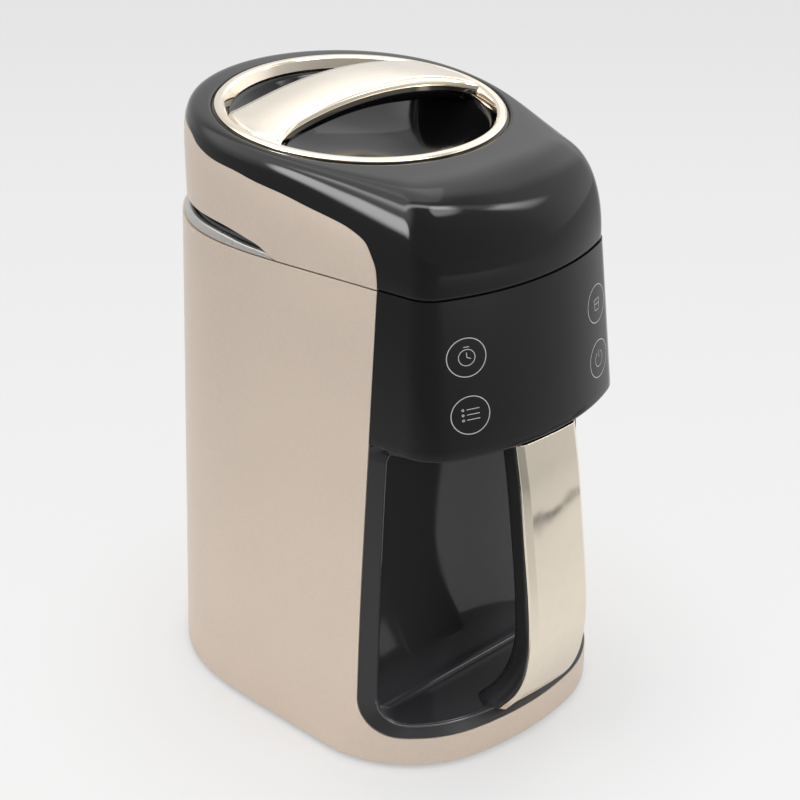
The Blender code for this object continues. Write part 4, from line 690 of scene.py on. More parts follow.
def piano_black(look):
    haze = look.noise(45, 4)
    # Pale specks of dust.
    pale_share = look.spread(look.cells(900), 0.0, 0.07, 1, 0) * look.noise(60, 2).over(0.56)
    wipe = look.noise(30, 3, (1, 1, 14))
    return surface(look, pale_share, shaded(colours().piano_black, 1), (0.05, 0.05, 0.05, 1),
                   haze * 0.6 + wipe * 0.4, (0.055, 0.1), IOR=1.41, Normal=look.bump(haze, 0.00002, 0.4))


def well_black(look):
    """Gloss black, paler towards the well's floor."""
    height = look.height_of(look.position())
    haze = look.noise(45, 4)
    # The colour grows paler towards the well's floor, a little unevenly.
    pale_share = look.spread(height, WELL_FLOOR_Z + 0.003, WELL_FLOOR_Z + 0.03, 1, 0)
    pale_share = pale_share * look.spread(haze, 0.3, 0.7, 0.8, 1)
    return surface(look, pale_share, (0.02, 0.02, 0.021, 1), (0.042, 0.042, 0.046, 1), haze, (0.06, 0.11), IOR=1.41,
                   Normal=look.bump(haze, 0.00002, 0.4))


def bead_black(look):
    """The same gloss as the well's with a raised reflection, so that the lip shows a bright highlight line.
    """
    haze = look.noise(300, 3)
    return surface(look, haze, (0.03, 0.03, 0.032, 1), (0.045, 0.045, 0.048, 1), haze, (0.1, 0.18), IOR=2.0,
                   Normal=look.bump(haze, 0.00001, 0.3))


def frame_grey(look):
    grain = look.noise(1800, 2)
    colour = colours().frame_grey
    return surface(look, grain, shaded(colour, 0.85), shaded(colour, 1.15), look.noise(60, 3), (0.3, 0.38),
                   IOR=1.45, Normal=look.bump(grain, 0.00002, 0.5))


def pale_gold(look):
    colour = colours().pale_gold
    haze = look.noise(160, 4)
    return surface(look, haze, shaded(colour, 0.95), shaded(colour, 1.05), haze, (0.05, 0.1), Metallic=1.0,
                   Normal=look.bump(look.noise(28, 1), 0.00012, 0.5))


def satin_gold(look):
    grain, cloud = look.noise(2400, 2), look.noise(40, 3)
    pale = tuple(lerp(c, 0.93, 0.2) for c in colours().pale_gold)
    return surface(look, cloud, shaded(pale, 0.94), shaded(pale, 1.0), cloud * 0.5 + grain * 0.5, (0.22, 0.3),
                   (0.35, 0.65), Metallic=1.0, Normal=look.bump(grain, 0.00002, 0.5))


def rim_grey(look):
    colour = colours().rim_grey
    flakes = look.noise(3000, 1)
    return surface(look, flakes, shaded(colour, 0.92), shaded(colour, 1.08), look.noise(50, 3), (0.26, 0.34),
                   Metallic=0.5, Normal=look.bump(flakes, 0.00001, 0.5))


def brushed_steel(look):
    colour = colours().steel
    lines, cloud = look.noise(60, 5, (1, 1, 60), 0.7), look.noise(18, 3)
    return surface(look, lines, shaded(colour, 0.88), shaded(colour, 1.1), lines * 0.6 + cloud * 0.4,
                   (0.2, 0.36), Metallic=1.0, Normal=look.bump(lines, 0.00003, 0.5))


def moulded(colour, grain_scale, roughness, depth=0.00004):
    """The maker of a grained moulded plastic or rubber."""
    def make(look):
        grain, cloud = look.noise(grain_scale, 3), look.noise(35, 3)
        return surface(look, cloud, shaded(colour, 0.85), shaded(colour, 1.15), grain * 0.5 + cloud * 0.5,
                       (roughness - 0.06, roughness + 0.06), Normal=look.bump(grain, depth, 0.6))
    return make


def base_plastic(look):
    return moulded(tuple(colours().base_brown), 1500, 0.42)(look)


def metal(colour, grain_scale, roughness, depth=0.00004):
    """The maker of a plain cast, drawn or turned metal."""
    def make(look):
        grain = look.noise(grain_scale, 4)
        return surface(look, grain, shaded(colour, 0.85), shaded(colour, 1.12), grain,
                       (roughness - 0.07, roughness + 0.08), Metallic=1.0,
                       Normal=look.bump(grain, depth, 0.6))
    return make


def circuit_board(look):
    tracks = look.field("ShaderNodeTexBrick", {"offset": 0.37, "squash": 0.6},
                        {"Vector": look.place(), "Scale": 140, "Mortar Size": 0.012,
                         "Color1": (0, 0, 0, 1), "Color2": (0, 0, 0, 1), "Mortar": (1, 1, 1, 1)})
    pads = look.spread(look.cells(190), 0.1, 0.16, 1, 0)
    mask = look.mix(tracks, (0.012, 0.1, 0.035, 1), (0.03, 0.2, 0.07, 1))
    return surface(look, pads, mask, (0.7, 0.68, 0.62, 1), pads, (0.32, 0.45), (0, 1),
                   Normal=look.bump(tracks, 0.00005, 0.5))


def wound_copper(look):
    turns = look.field("ShaderNodeTexWave", {"wave_type": "BANDS", "bands_direction": "Z"},
                       {"Vector": look.place(), "Scale": 320, "Distortion": 0.6, "Detail": 2})
    return surface(look, turns, (0.2, 0.07, 0.035, 1), (0.75, 0.36, 0.19, 1), turns, (0.5, 0.3), (0, 1),
                   Metallic=0.85, Normal=look.bump(turns, 0.0002, 0.7))


def key_print(look):
    colour = colours().print_grey
    wear = look.noise(2600, 2)
    return surface(look, wear, shaded(colour, 0.85), shaded(colour, 1.1), wear, (0.38, 0.48))


MAKERS = {maker.__name__: maker for maker in (
    champagne_paint, piano_black, well_black, bead_black, frame_grey, pale_gold, satin_gold, rim_grey,
    brushed_steel, circuit_board, wound_copper, key_print, base_plastic)}
MAKERS |= {
    "black_plastic": moulded((0.03, 0.03, 0.031), 1400, 0.48),
    "rubber": moulded((0.02, 0.02, 0.02), 1100, 0.72),
    "silicone": moulded((0.7, 0.69, 0.66), 500, 0.5, 0.00002),
    "cast_aluminium": metal((0.6, 0.61, 0.62), 420, 0.42, 0.00012),
    "zinc_steel": metal((0.55, 0.55, 0.56), 700, 0.34),
    "brass": metal((0.75, 0.56, 0.28), 500, 0.28),
}


def material(name):
    """A finish's material, made once."""
    made = bpy.data.materials.get("finish_" + name)
    return made or MAKERS[name](Look(bpy.data.materials.new("finish_" + name)))


# Geometry Nodes

class NodeTree:
    """A Geometry Nodes tree with named inputs, which ends in real geometry with its material."""

    def __init__(self, name, **inputs):
        self.tree = bpy.data.node_groups.new(name, "GeometryNodeTree")
        self.add_socket("Geometry", "INPUT", "Geometry")
        self.inputs = [(self.add_socket(label.replace("_", " ").capitalize(), "INPUT", kind), value)
                       for label, (kind, value) in inputs.items()]
        self.add_socket("Geometry", "OUTPUT", "Geometry")
        self.entry = self.tree.nodes.new("NodeGroupInput")

    def add_socket(self, label, way, kind):
        return self.tree.interface.new_socket(label, in_out=way, socket_type="NodeSocket" + kind)

    def node(self, kind, **sockets):
        """A node of a kind. A socket is given a value, or a pair of a node and the name of its output."""
        made = self.tree.nodes.new(kind)
        for name, value in sockets.items():
            socket = made.inputs[name.replace("_", " ")]
            if isinstance(value, tuple):
                self.tree.links.new(value[0].outputs[value[1]], socket)
            else:
                socket.default_value = value
        return made

    def run_on(self, name, points, edges, last, finish):
        """Ends the tree, runs it on a mesh of points and edges and gives the result as a plain piece."""
        real = self.node("GeometryNodeRealizeInstances", Geometry=last)
        dressed = self.node("GeometryNodeSetMaterial", Geometry=(real, "Geometry"), Material=material(finish))
        self.node("NodeGroupOutput", Geometry=(dressed, "Geometry"))
        mesh = bpy.data.meshes.new(name)
        mesh.from_pydata(points, edges, [])
        piece = object_of(name, mesh)
        step = piece.modifiers.new("nodes", "NODES")
        step.node_group = self.tree
        for socket, value in self.inputs:
            step[socket.identifier] = value
        return settle(piece)


def repeated(name, places, master, finish, turn=0.0):
    """A copy of a master piece at each place, made by Geometry Nodes."""
    tree = NodeTree(name + "_copies", size=("Float", 1.0), turn=("Float", turn))
    points = tree.node("GeometryNodeMeshToPoints", Mesh=(tree.entry, "Geometry"))
    shape = tree.node("GeometryNodeObjectInfo", Object=master)
    spin = tree.node("ShaderNodeCombineXYZ", Z=(tree.entry, "Turn"))
    copies = tree.node("GeometryNodeInstanceOnPoints", Points=(points, "Points"),
                       Instance=(shape, "Geometry"), Rotation=(spin, "Vector"), Scale=(tree.entry, "Size"))
    piece = tree.run_on(name, [tuple(place) for place in places], [], (copies, "Instances"), finish)
    discard(master)
    return piece


def spun_ring(name, radius, profile, finish, segments=160):
    """A profile of (outwards, upwards) points swept round a circle by Geometry Nodes, about the origin."""
    tree = NodeTree(name + "_sweep", ring_radius=("Float", radius), steps=("Int", segments))
    circle = tree.node("GeometryNodeCurvePrimitiveCircle", Radius=(tree.entry, "Ring radius"),
                       Resolution=(tree.entry, "Steps"))
    section = tree.node("GeometryNodeMeshToCurve", Mesh=(tree.entry, "Geometry"))
    sweep = tree.node("GeometryNodeCurveToMesh", Curve=(circle, "Curve"), Profile_Curve=(section, "Curve"))
    edges = [(i, (i + 1) % len(profile)) for i in range(len(profile))]
    return tree.run_on(name, [(out, -up, 0) for out, up in profile], edges, (sweep, "Mesh"), finish)


# Pieces of the jug

class MILKMAKER_OT_shell(bpy.types.Operator):
    """Make the painted shell with its front window"""

    bl_idname = "milk_maker.shell"
    bl_label = "Painted Shell"

    def execute(self, context):
        top = PARTING_Z - SEAM / 2
        bend = np.linspace(0, math.pi / 2, 14)
        corner_z = BAND_TOP_Z + WINDOW_CORNER * (1 - np.cos(bend))
        heights = np.concatenate([np.linspace(0, BAND_TOP_Z, 5), corner_z[1:],
                                  np.linspace(BAND_TOP_Z + WINDOW_CORNER, top, 26)[1:]])
        along = np.linspace(0, 1, 110)
        sides, front = [], []
        for z in heights:
            plan = body_plan(z)
            edge = share_at(plan, edge_y(z, WINDOW_EDGE_Y, BAND_TOP_Z, WINDOW_CORNER))
            sides.append(level_row(plan, edge * along, z))
            if z <= BAND_TOP_Z:
                front.append(level_row(plan, lerp(edge, 1, np.linspace(0, 1, 44)), z))
        shell = half_sheets("gold_shell", np.array(sides), np.array(front))
        thicken(shell, SHELL_WALL)
        hole = inlet_block("inlet_hole", SEAT_GAP, 0.02)
        combine(shell, "DIFFERENCE", hole)
        ease(shell, sizes().edge_round, 3)
        hand_over(shell, "jug", "champagne_paint", "champagne_paint", "jug_shell")
        discard(hole)
        return {"FINISHED"}


FOOT_PLACES = [(side * x, y) for x, y in ((0.058, -0.068), (0.056, 0.062)) for side in (-1, 1)]
SCREW_FRONT = (0.04, -0.08)
SCREW_INSET = 0.0035
SCREW_SEAT_RADIUS = 0.0034
VENT_HALF = (0.0011, 0.012)
VENT_PITCH = 0.0056
VENT_Y = 0.018
CUT_REACH = 0.01


def screw_places():
    """Two screws near the front and two on a circle about the back's centre, 30 degrees to either side."""
    spread = BASE_PLAN[0] - SHELL_WALL - SCREW_INSET
    behind = (spread * math.cos(math.radians(30)), BASE_PLAN[1] + spread * 0.5)
    return [(side * x, y) for x, y in (SCREW_FRONT, behind) for side in (-1, 1)]


def closed_ring(plan, z, inset, count=70):
    """A whole outline at one height."""
    half = level_row(plan, np.linspace(0, 1, count), z, inset)
    return np.concatenate([half, half[-2:0:-1] * (-1, 1, 1)])


class MILKMAKER_OT_base(bpy.types.Operator):
    """Make the base pan with its air slots, feet and screws"""

    bl_idname = "milk_maker.base"
    bl_label = "Base"

    def execute(self, context):
        size = sizes()
        rows = [(-0.0012, 0.0026), (-0.00105, 0.0018), (-0.0008, 0.00132), (-0.0004, 0.0012),
                (-0.0003, 0.0012), (-0.0003, 0.0027), (0.003, 0.0027), (0.003, 0.0052), (0.0012, 0.0052)]
        pan = lofted("base_pan", [closed_ring(body_plan(0), z, inset) for z, inset in rows])
        foot_seat = wall_between(0, size.foot_radius + SEAT_GAP, -CUT_REACH, -0.0002)
        screw_seat = wall_between(0, SCREW_SEAT_RADIUS, -CUT_REACH, 0.0009)
        cutters = [turned("foot_seat", foot_seat, 48, (x, y, 0)) for x, y in FOOT_PLACES]
        cutters += [turned("screw_seat", screw_seat, 32, (x, y, 0)) for x, y in screw_places()]
        slot = rounded(rectangle(*VENT_HALF), 0.001)
        slot_master = unseat(lofted("slot_master", [[(x, y, z) for x, y in slot] for z in (-0.004, -0.0007)]))
        across = (np.arange(size.vent_count) - (size.vent_count - 1) / 2) * VENT_PITCH
        slots = repeated("slots", seat([(x, VENT_Y, 0) for x in across]), slot_master, "base_plastic")
        combine(pan, "DIFFERENCE", *cutters, slots)
        hand_over(pan, "jug", "black_plastic", "base_plastic", "base_cover")
        discard(*cutters, slots)
        self.feet(size)
        self.screws()
        return {"FINISHED"}

    def feet(self, size):
        radius = size.foot_radius
        profile = rounded([(0, -0.0025), (radius - 0.0034, -0.0025), (radius - 0.0034, -0.0021),
                           (radius - 0.0024, -0.0021), (radius - 0.0024, -0.0025), (radius - 0.0009, -0.0025),
                           (radius, -0.0005), (0, -0.0005)], 0.0003, closed=False)
        foot = unseat(turned("foot_master", profile, 56))
        feet = repeated("feet", seat([(x, y, 0) for x, y in FOOT_PLACES]), foot, "rubber")
        hand_over(feet, "jug", "black_rubber", "rubber", "foot_1", "foot_2", "foot_3", "foot_4")

    def screws(self):
        profile = [(0, -0.0012), (0.002, -0.0012), (0.0027, -0.0009), (0.003, -0.0003), (0.003, 0.0008),
                   (0.0015, 0.0008), (0.0015, 0.013), (0.0006, 0.014), (0, 0.014)]
        screw = unseat(turned("screw_master", profile, 40))
        arms = [unseat(block("screw_arm", (-x, -y, -0.004), (x, y, 0.0001)))
                for x, y in ((0.0018, 0.0003), (0.0003, 0.0018))]
        combine(screw, "DIFFERENCE", *arms)
        settle(screw)
        discard(*arms)
        places = seat([(x, y, 0) for x, y in screw_places()])
        screws = repeated("base_screws", places, screw, "zinc_steel", 0.6)
        hand_over(screws, "jug", "screw_steel", "zinc_steel",
                  "base_screw_1", "base_screw_2", "base_screw_3", "base_screw_4")


class MILKMAKER_OT_well(bpy.types.Operator):
    """Make the well behind the handle: its bevelled frame and its gloss lining"""

    bl_idname = "milk_maker.well"
    bl_label = "Well"

    def execute(self, context):
        low, high = BAND_TOP_Z + SEAT_GAP, PANEL_BOTTOM_Z - SEAT_GAP
        bend = np.linspace(0, math.pi / 2, 18)
        side_z = np.concatenate([np.linspace(high, high - 0.01, 14),
                                 np.linspace(high - 0.01, BAND_TOP_Z + WINDOW_CORNER, 24)[1:]])
        outer, inner = [], []
        for z in side_z:
            share = (z - side_z[-1]) / (high - side_z[-1])
            inner_z = lerp(WELL_FLOOR_Z + MOUTH_CORNER, high, share)
            y = WINDOW_EDGE_Y - SEAT_GAP
            outer.append((half_width(body_plan(z), y, LINER_STEP), y, z))
            inner.append((mouth_half(inner_z, MOUTH_EDGE_Y), MOUTH_EDGE_Y, inner_z))
        for turn in bend[1:]:
            radius = WINDOW_CORNER - SEAT_GAP
            y = WINDOW_EDGE_Y - SEAT_GAP - radius * (1 - math.cos(turn))
            z = low + radius * (1 - math.sin(turn))
            outer.append((half_width(body_plan(z), y, LINER_STEP), y, z))
            y = MOUTH_EDGE_Y - MOUTH_CORNER * (1 - math.cos(turn))
            z = WELL_FLOOR_Z + MOUTH_CORNER * (1 - math.sin(turn))
            inner.append((half_width(body_plan(z), y, MOUTH_BEVEL), y, z))
        shares = np.linspace(0, 1, 34)[1:]
        for row, z, inset in ((outer, low, LINER_STEP), (inner, WELL_FLOOR_Z, MOUTH_BEVEL)):
            plan = body_plan(z)
            first = share_at(plan, row[-1][1], inset)
            row += list(level_row(plan, lerp(first, 1, shares), z, inset))
        outer, inner = np.array(outer), np.array(inner)
        rows = [lerp(outer, inner, share) for share in (0, 0.04, 0.5, 0.94, 1)]
        bevel = half_sheets("well_frame", np.array(rows))
        thicken(bevel, 0.0016)
        ease(bevel, 0.0004, 2)
        hand_over(bevel, "jug", "gloss_black", "frame_grey", "well_liner")
        self.lip(inner[inner[:, 2] < WELL_FLOOR_Z + MOUTH_CORNER + LIP_BEAD_RISE])
        self.lining()
        self.ceiling(high)
        return {"FINISHED"}

    def lip(self, edge):
        """The polished bead along the mouth's lower edge."""
        outline = np.concatenate([edge, edge[-2::-1] * (-1, 1, 1)])
        along = np.gradient(outline, axis=0)
        along /= np.linalg.norm(along, axis=1)[:, None]
        out = np.cross(along, (0, 0, 1))
        out[np.linalg.norm(out, axis=1) < 0.2] = (0, -1, 0)
        out /= np.linalg.norm(out, axis=1)[:, None]
        up = np.cross(out, along)
        turns = np.linspace(0, 2 * math.pi, 13)[:-1]
        swell = np.sin(np.linspace(0, math.pi, len(outline)))[:, None] ** 0.3 * LIP_BEAD_RADIUS + 0.00004
        rings = [outline + (out * math.cos(turn) + up * math.sin(turn)) * swell for turn in turns]
        bead = lofted("mouth_bead", [[tuple(ring[i]) for ring in rings] for i in range(len(outline))])
        hand_over(bead, "jug", "gloss_black", "bead_black")

    def lining(self):
        """The flat back wall with its round corners, and the floor, one sheet."""
        count = 40
        heights = np.concatenate([WELL_FLOOR_Z + WELL_FILLET * (1 - np.cos(np.linspace(0, math.pi / 2, 12))),
                                  np.linspace(WELL_FLOOR_Z + WELL_FILLET, MOUTH_TOP_Z - 0.006, 30)[1:],
                                  np.linspace(MOUTH_TOP_Z - 0.006, MOUTH_TOP_Z + 0.0005, 10)[1:]])
        bend = np.linspace(0, math.pi / 2, count // 2)
        wall = []
        for z in heights:
            front = edge_y(z, MOUTH_EDGE_Y, WELL_FLOOR_Z, MOUTH_CORNER)
            back = WELL_BACK_Y + edge_y(z, 0, WELL_FLOOR_Z, WELL_FILLET)
            flat = mouth_half(z, front) - WELL_CORNER
            x = np.concatenate([np.linspace(0, flat, count // 2 + 1)[:-1], flat + WELL_CORNER * np.sin(bend)])
            y = np.concatenate([np.full(count // 2, back), lerp(back, front, 1 - np.cos(bend))])
            wall.append(np.column_stack([x, y, np.full(count, z)]))
        plan = body_plan(WELL_FLOOR_Z)
        corner = share_at(plan, MOUTH_EDGE_Y - MOUTH_CORNER, MOUTH_BEVEL)
        ahead = level_row(plan, lerp(1, corner, np.linspace(0, 1, 60)), WELL_FLOOR_Z, MOUTH_BEVEL)
        ahead = np.column_stack([np.interp(wall[0][:, 0], ahead[:, 0], column) for column in ahead.T])
        floor = np.array([lerp(wall[0], ahead, share) for share in np.linspace(0, 1, 14)])
        lining = half_sheets("well_lining", np.array(wall), floor)
        thicken(lining, 0.0012, 0.0)
        hand_over(lining, "jug", "gloss_black", "well_black")

    def ceiling(self, high):
        """The slab under the control panel, set back from its front."""
        count = 60
        rows = []
        for z, inset in ((MOUTH_TOP_Z, 0.0058), (MOUTH_TOP_Z + 0.0003, 0.0051), (MOUTH_TOP_Z + 0.001, 0.0048),
                         (high, 0.0048)):
            plan = body_plan(z)
            edge = share_at(plan, WINDOW_EDGE_Y - SEAT_GAP - 0.0062, inset)
            rows.append(level_row(plan, lerp(edge, 1, np.linspace(0, 1, count)), z, inset))
        back = rows[0] * (1, 0, 1) + (0, WINDOW_EDGE_Y - 0.003, 0)
        under = [lerp(rows[0], back, share) for share in np.linspace(1, 0, 8)]
        ceiling = half_sheets("well_ceiling", np.array(under + rows[1:]))
        thicken(ceiling, 0.001, 0.0)
        hand_over(ceiling, "jug", "gloss_black", "frame_grey")


def handle_front(share):
    return -lerp(HANDLE_FOOT_REACH, HANDLE_BULGE_REACH, through(HANDLE_FRONT, share))


def strip_section(share):
    """The strip's outer face at a share of the handle's height, from left to right, as (x, y)."""
    front = handle_front(share)
    half, face = sizes().strip_width / 2, sizes().strip_face / 2
    x = np.concatenate([[-half], np.linspace(-face, face, 13), [half]])
    y = front - STRIP_CROWN * (1 - (x / face) ** 2)
    y[[0, -1]] = front + STRIP_FACET
    return np.column_stack([x, y])


class MILKMAKER_OT_handle(bpy.types.Operator):
    """Make the plated strip and the black core of the handle"""

    bl_idname = "milk_maker.handle"
    bl_label = "Handle"

    def execute(self, context):
        strip, core = [], []
        for share in np.linspace(0, 1, 72):
            z = lerp(HANDLE_FOOT_Z, HANDLE_TOP_Z, share)
            face = strip_section(share)
            strip.append([(x, y, z) for x, y in [*face, *(face[::-1] + (0, STRIP_THICKNESS))]])
            back = handle_front(share) + HANDLE_DEPTH * through(HANDLE_DEPTHS, share)
            half = sizes().strip_width / 2 + CORE_FLARE * (1 - smooth(share / 0.257))
            bend = arc_points((half - CORE_CORNER, back - CORE_CORNER), CORE_CORNER, 0, math.pi / 2, 9)
            front = face + (0, STRIP_THICKNESS + 0.0001)
            core.append([(x, y, z) for x, y in [*front, *bend, *(bend[::-1] * (-1, 1))]])
        gold = ease(lofted("handle_face", strip), 0.0003, 3, 20)
        hand_over(gold, "jug", "plated_gold", "pale_gold", "handle_strip")
        black = ease(lofted("handle_back", core), 0.0004, 2, 50)
        hand_over(black, "jug", "gloss_black", "well_black", "handle_core")
        return {"FINISHED"}


def panel_surface(x, z, proud=0.00004):
    """A point on the control panel's front, a hair proud of it."""
    places, points, normals = half_outline(panel_plan(z))
    front = places > 0.5
    order = np.argsort(points[front][:, 0])
    width = points[front][order][:, 0]
    y = np.interp(abs(x), width, points[front][order][:, 1])
    normal = [np.interp(abs(x), width, normals[front][order][:, axis]) for axis in (0, 1)]
    return (x + math.copysign(normal[0], x) * proud, y + normal[1] * proud, z)


KEY_SIDE = 0.0427
KEY_HEIGHTS = (0.2216, 0.1943)
KEYS = dict(zip(("timer", "select", "milk", "power"),
                [(side * KEY_SIDE, z) for side in (-1, 1) for z in KEY_HEIGHTS]))


def circle_line(radius, first=0, last=2 * math.pi, count=49, centre=(0, 0)):
    return arc_points(centre, radius, first, last, count)


def line(*points):
    return resampled(np.array(points, float), 9)


def key_strokes(kind, radius):
    """The printed lines of one key, about its middle."""
    strokes = [(circle_line(radius, count=97), True)]
    inner = radius * 0.42
    if kind == "timer":
        hands = line((0, inner * 0.62), (0, 0), (inner * 0.5, -inner * 0.2))
        strokes += [(circle_line(inner), True), (hands, False)]
        strokes += [(line((-inner * 0.35, inner * 1.3), (inner * 0.35, inner * 1.3)), False)]
    elif kind == "select":
        for row in (0.75, 0.1, -0.55):
            strokes.append((line((-inner * 0.5, inner * row), (inner * 1.1, inner * row)), False))
            strokes.append((circle_line(inner * 0.12, count=13, centre=(-inner * 0.95, inner * row)), True))
    elif kind == "milk":
        cup = np.array([(-0.7, 0.6), (-0.5, -0.8), (0.5, -0.8), (0.7, 0.6), (-0.7, 0.6)]) * inner
        strokes += [(line(*cup[i:i + 2]), False) for i in range(4)]
        strokes += [(line((-inner * 0.6, 0), (inner * 0.6, 0)), False)]
    else:
        strokes += [(circle_line(inner, math.radians(120), math.radians(420), 41), False),
                    (line((0, inner * 1.15), (0, inner * 0.2)), False)]
    return strokes


def ribbon(points, width, closed):
    """Left and right edges of a flat line."""
    if closed:
        tangents = np.roll(points[:-1], -1, axis=0) - np.roll(points[:-1], 1, axis=0)
        tangents = np.concatenate([tangents, tangents[:1]])
    else:
        tangents = np.gradient(points, axis=0)
    tangents /= np.linalg.norm(tangents, axis=1)[:, None]
    side = np.stack([-tangents[:, 1], tangents[:, 0]], axis=1) * width / 2
    return points + side, points - side


class MILKMAKER_OT_panel(bpy.types.Operator):
    """Make the control panel and the print of its touch keys"""

    bl_idname = "milk_maker.panel"
    bl_label = "Control Panel"

    def execute(self, context):
        top = PARTING_Z
        edge = WINDOW_EDGE_Y - SEAT_GAP
        turn = np.linspace(0, math.pi / 2, 6)
        levels = [(PANEL_BOTTOM_Z + PANEL_ROUND * (1 - math.cos(t)), PANEL_ROUND * (1 - math.sin(t)))
                  for t in turn]
        levels += [(z, 0.0) for z in np.linspace(PANEL_BOTTOM_Z + PANEL_ROUND, top, 22)[1:]]
        along = np.concatenate([np.linspace(0, 0.9, 90), np.linspace(0.9, 1, 12)[1:]])
        rows = []
        for z, inset in levels:
            plan = panel_plan(z)
            first = share_at(plan, edge, inset)
            rows.append(level_row(plan, lerp(first, 1, along), z, inset))
        back = rows[0] * (1, 0, 1) + (0, edge, 0)
        under = [lerp(back, rows[0], share) for share in np.linspace(0, 1, 8)[:-1]]
        cover = half_sheets("panel_cover", np.array(under + rows))
        thicken(cover, 0.0022)
        ease(cover, 0.0003, 2)
        hand_over(cover, "jug", "gloss_black", "piano_black", "control_panel")
        self.prints()
        return {"FINISHED"}

    def prints(self):
        width = sizes().print_line
        points, faces = [], []
        for kind, (x, z) in KEYS.items():
            for stroke, closed in key_strokes(kind, sizes().key_radius):
                left, right = ribbon(stroke, width if len(stroke) > 50 else width * 0.85, closed)
                start = len(points)
                points += [panel_surface(x + u, z + v) for side in (left, right) for u, v in side]
                faces += grid_faces(2, len(stroke), start)
        mesh = clean_mesh("touch_key_print", points, faces)
        prints = object_of("touch_key_print", mesh)
        hand_over(prints, "jug", "gloss_black", "key_print")


class MILKMAKER_OT_rim(bpy.types.Operator):
    """Make the silver-grey rim and the pouring lip that stands up round the back"""

    bl_idname = "milk_maker.rim"
    bl_label = "Rim and Lip"

    def execute(self, context):
        wall = SHELL_WALL + SEAT_GAP
        top = PARTING_Z - SEAM / 2
        rows = [(wall, RIM_DECK_Z - 0.0022), (wall, top - 0.0004), (wall + 0.0004, top), (wall + 0.0014, top),
                (wall + 0.0016, top - 0.0003), (wall + 0.002, RIM_DECK_Z)]
        deck = lofted("rim_deck", [closed_ring(TOP_PLAN, z, inset, 90) for inset, z in rows])
        hole = turned("cup_hole", wall_between(0, CUP_RADIUS + SEAT_GAP, 0.2, 0.3), 96, CUP_AXIS)
        socket = coupler_block("socket_hole", SEAT_GAP, 0.02)
        combine(deck, "DIFFERENCE", hole, socket)
        ease(deck, 0.0003, 2)
        hand_over(deck, "jug", "silver_paint", "rim_grey", "jug_rim")
        discard(hole, socket)
        self.lip(wall, top)
        return {"FINISHED"}

    def lip(self, wall, top):
        front = share_at(TOP_PLAN, LIP_RISES[0][0])
        shares = np.linspace(0, front, 110)
        depth = on_outline(TOP_PLAN, shares)[:, 1]
        outer, inner = LIP_STEP, LIP_STEP + LIP_WALL
        foot = top + SEAT_GAP
        crest = np.maximum(PARTING_Z + through(LIP_RISES, depth), foot + 0.0001)
        rise = (crest - foot) / (LIP_TOP_Z - foot)
        rows = [(wall + 0.0016, wall + 0.0016, -1), (outer + 0.0006, outer, 0.0), (outer, outer, 0.04)]
        rows += [(outer, outer, level) for level in np.linspace(0.15, 0.88, 8)]
        rows += [(inset, inset, level) for inset, level in (
            (outer + 0.0002, 0.96), (outer + 0.0005, 0.99), (outer + 0.0009, 1), (inner - 0.0005, 1),
            (inner, 0.93))]
        rows += [(inner, inner, level) for level in np.linspace(0.7, 0.0, 5)]
        grid = []
        for low_inset, high_inset, level in rows:
            height = max(level, 0)
            low = level_row(TOP_PLAN, shares, foot, low_inset)
            high = level_row(HEAD_PLAN, shares, LIP_TOP_Z, high_inset)
            row = low + (high - low) * (rise * height)[:, None]
            if level < 0:
                row[:, 2] = foot
            grid.append(row)
        grid.append(grid[0])
        lip = half_sheets("pouring_lip", np.array(grid))
        hand_over(lip, "jug", "silver_paint", "rim_grey")


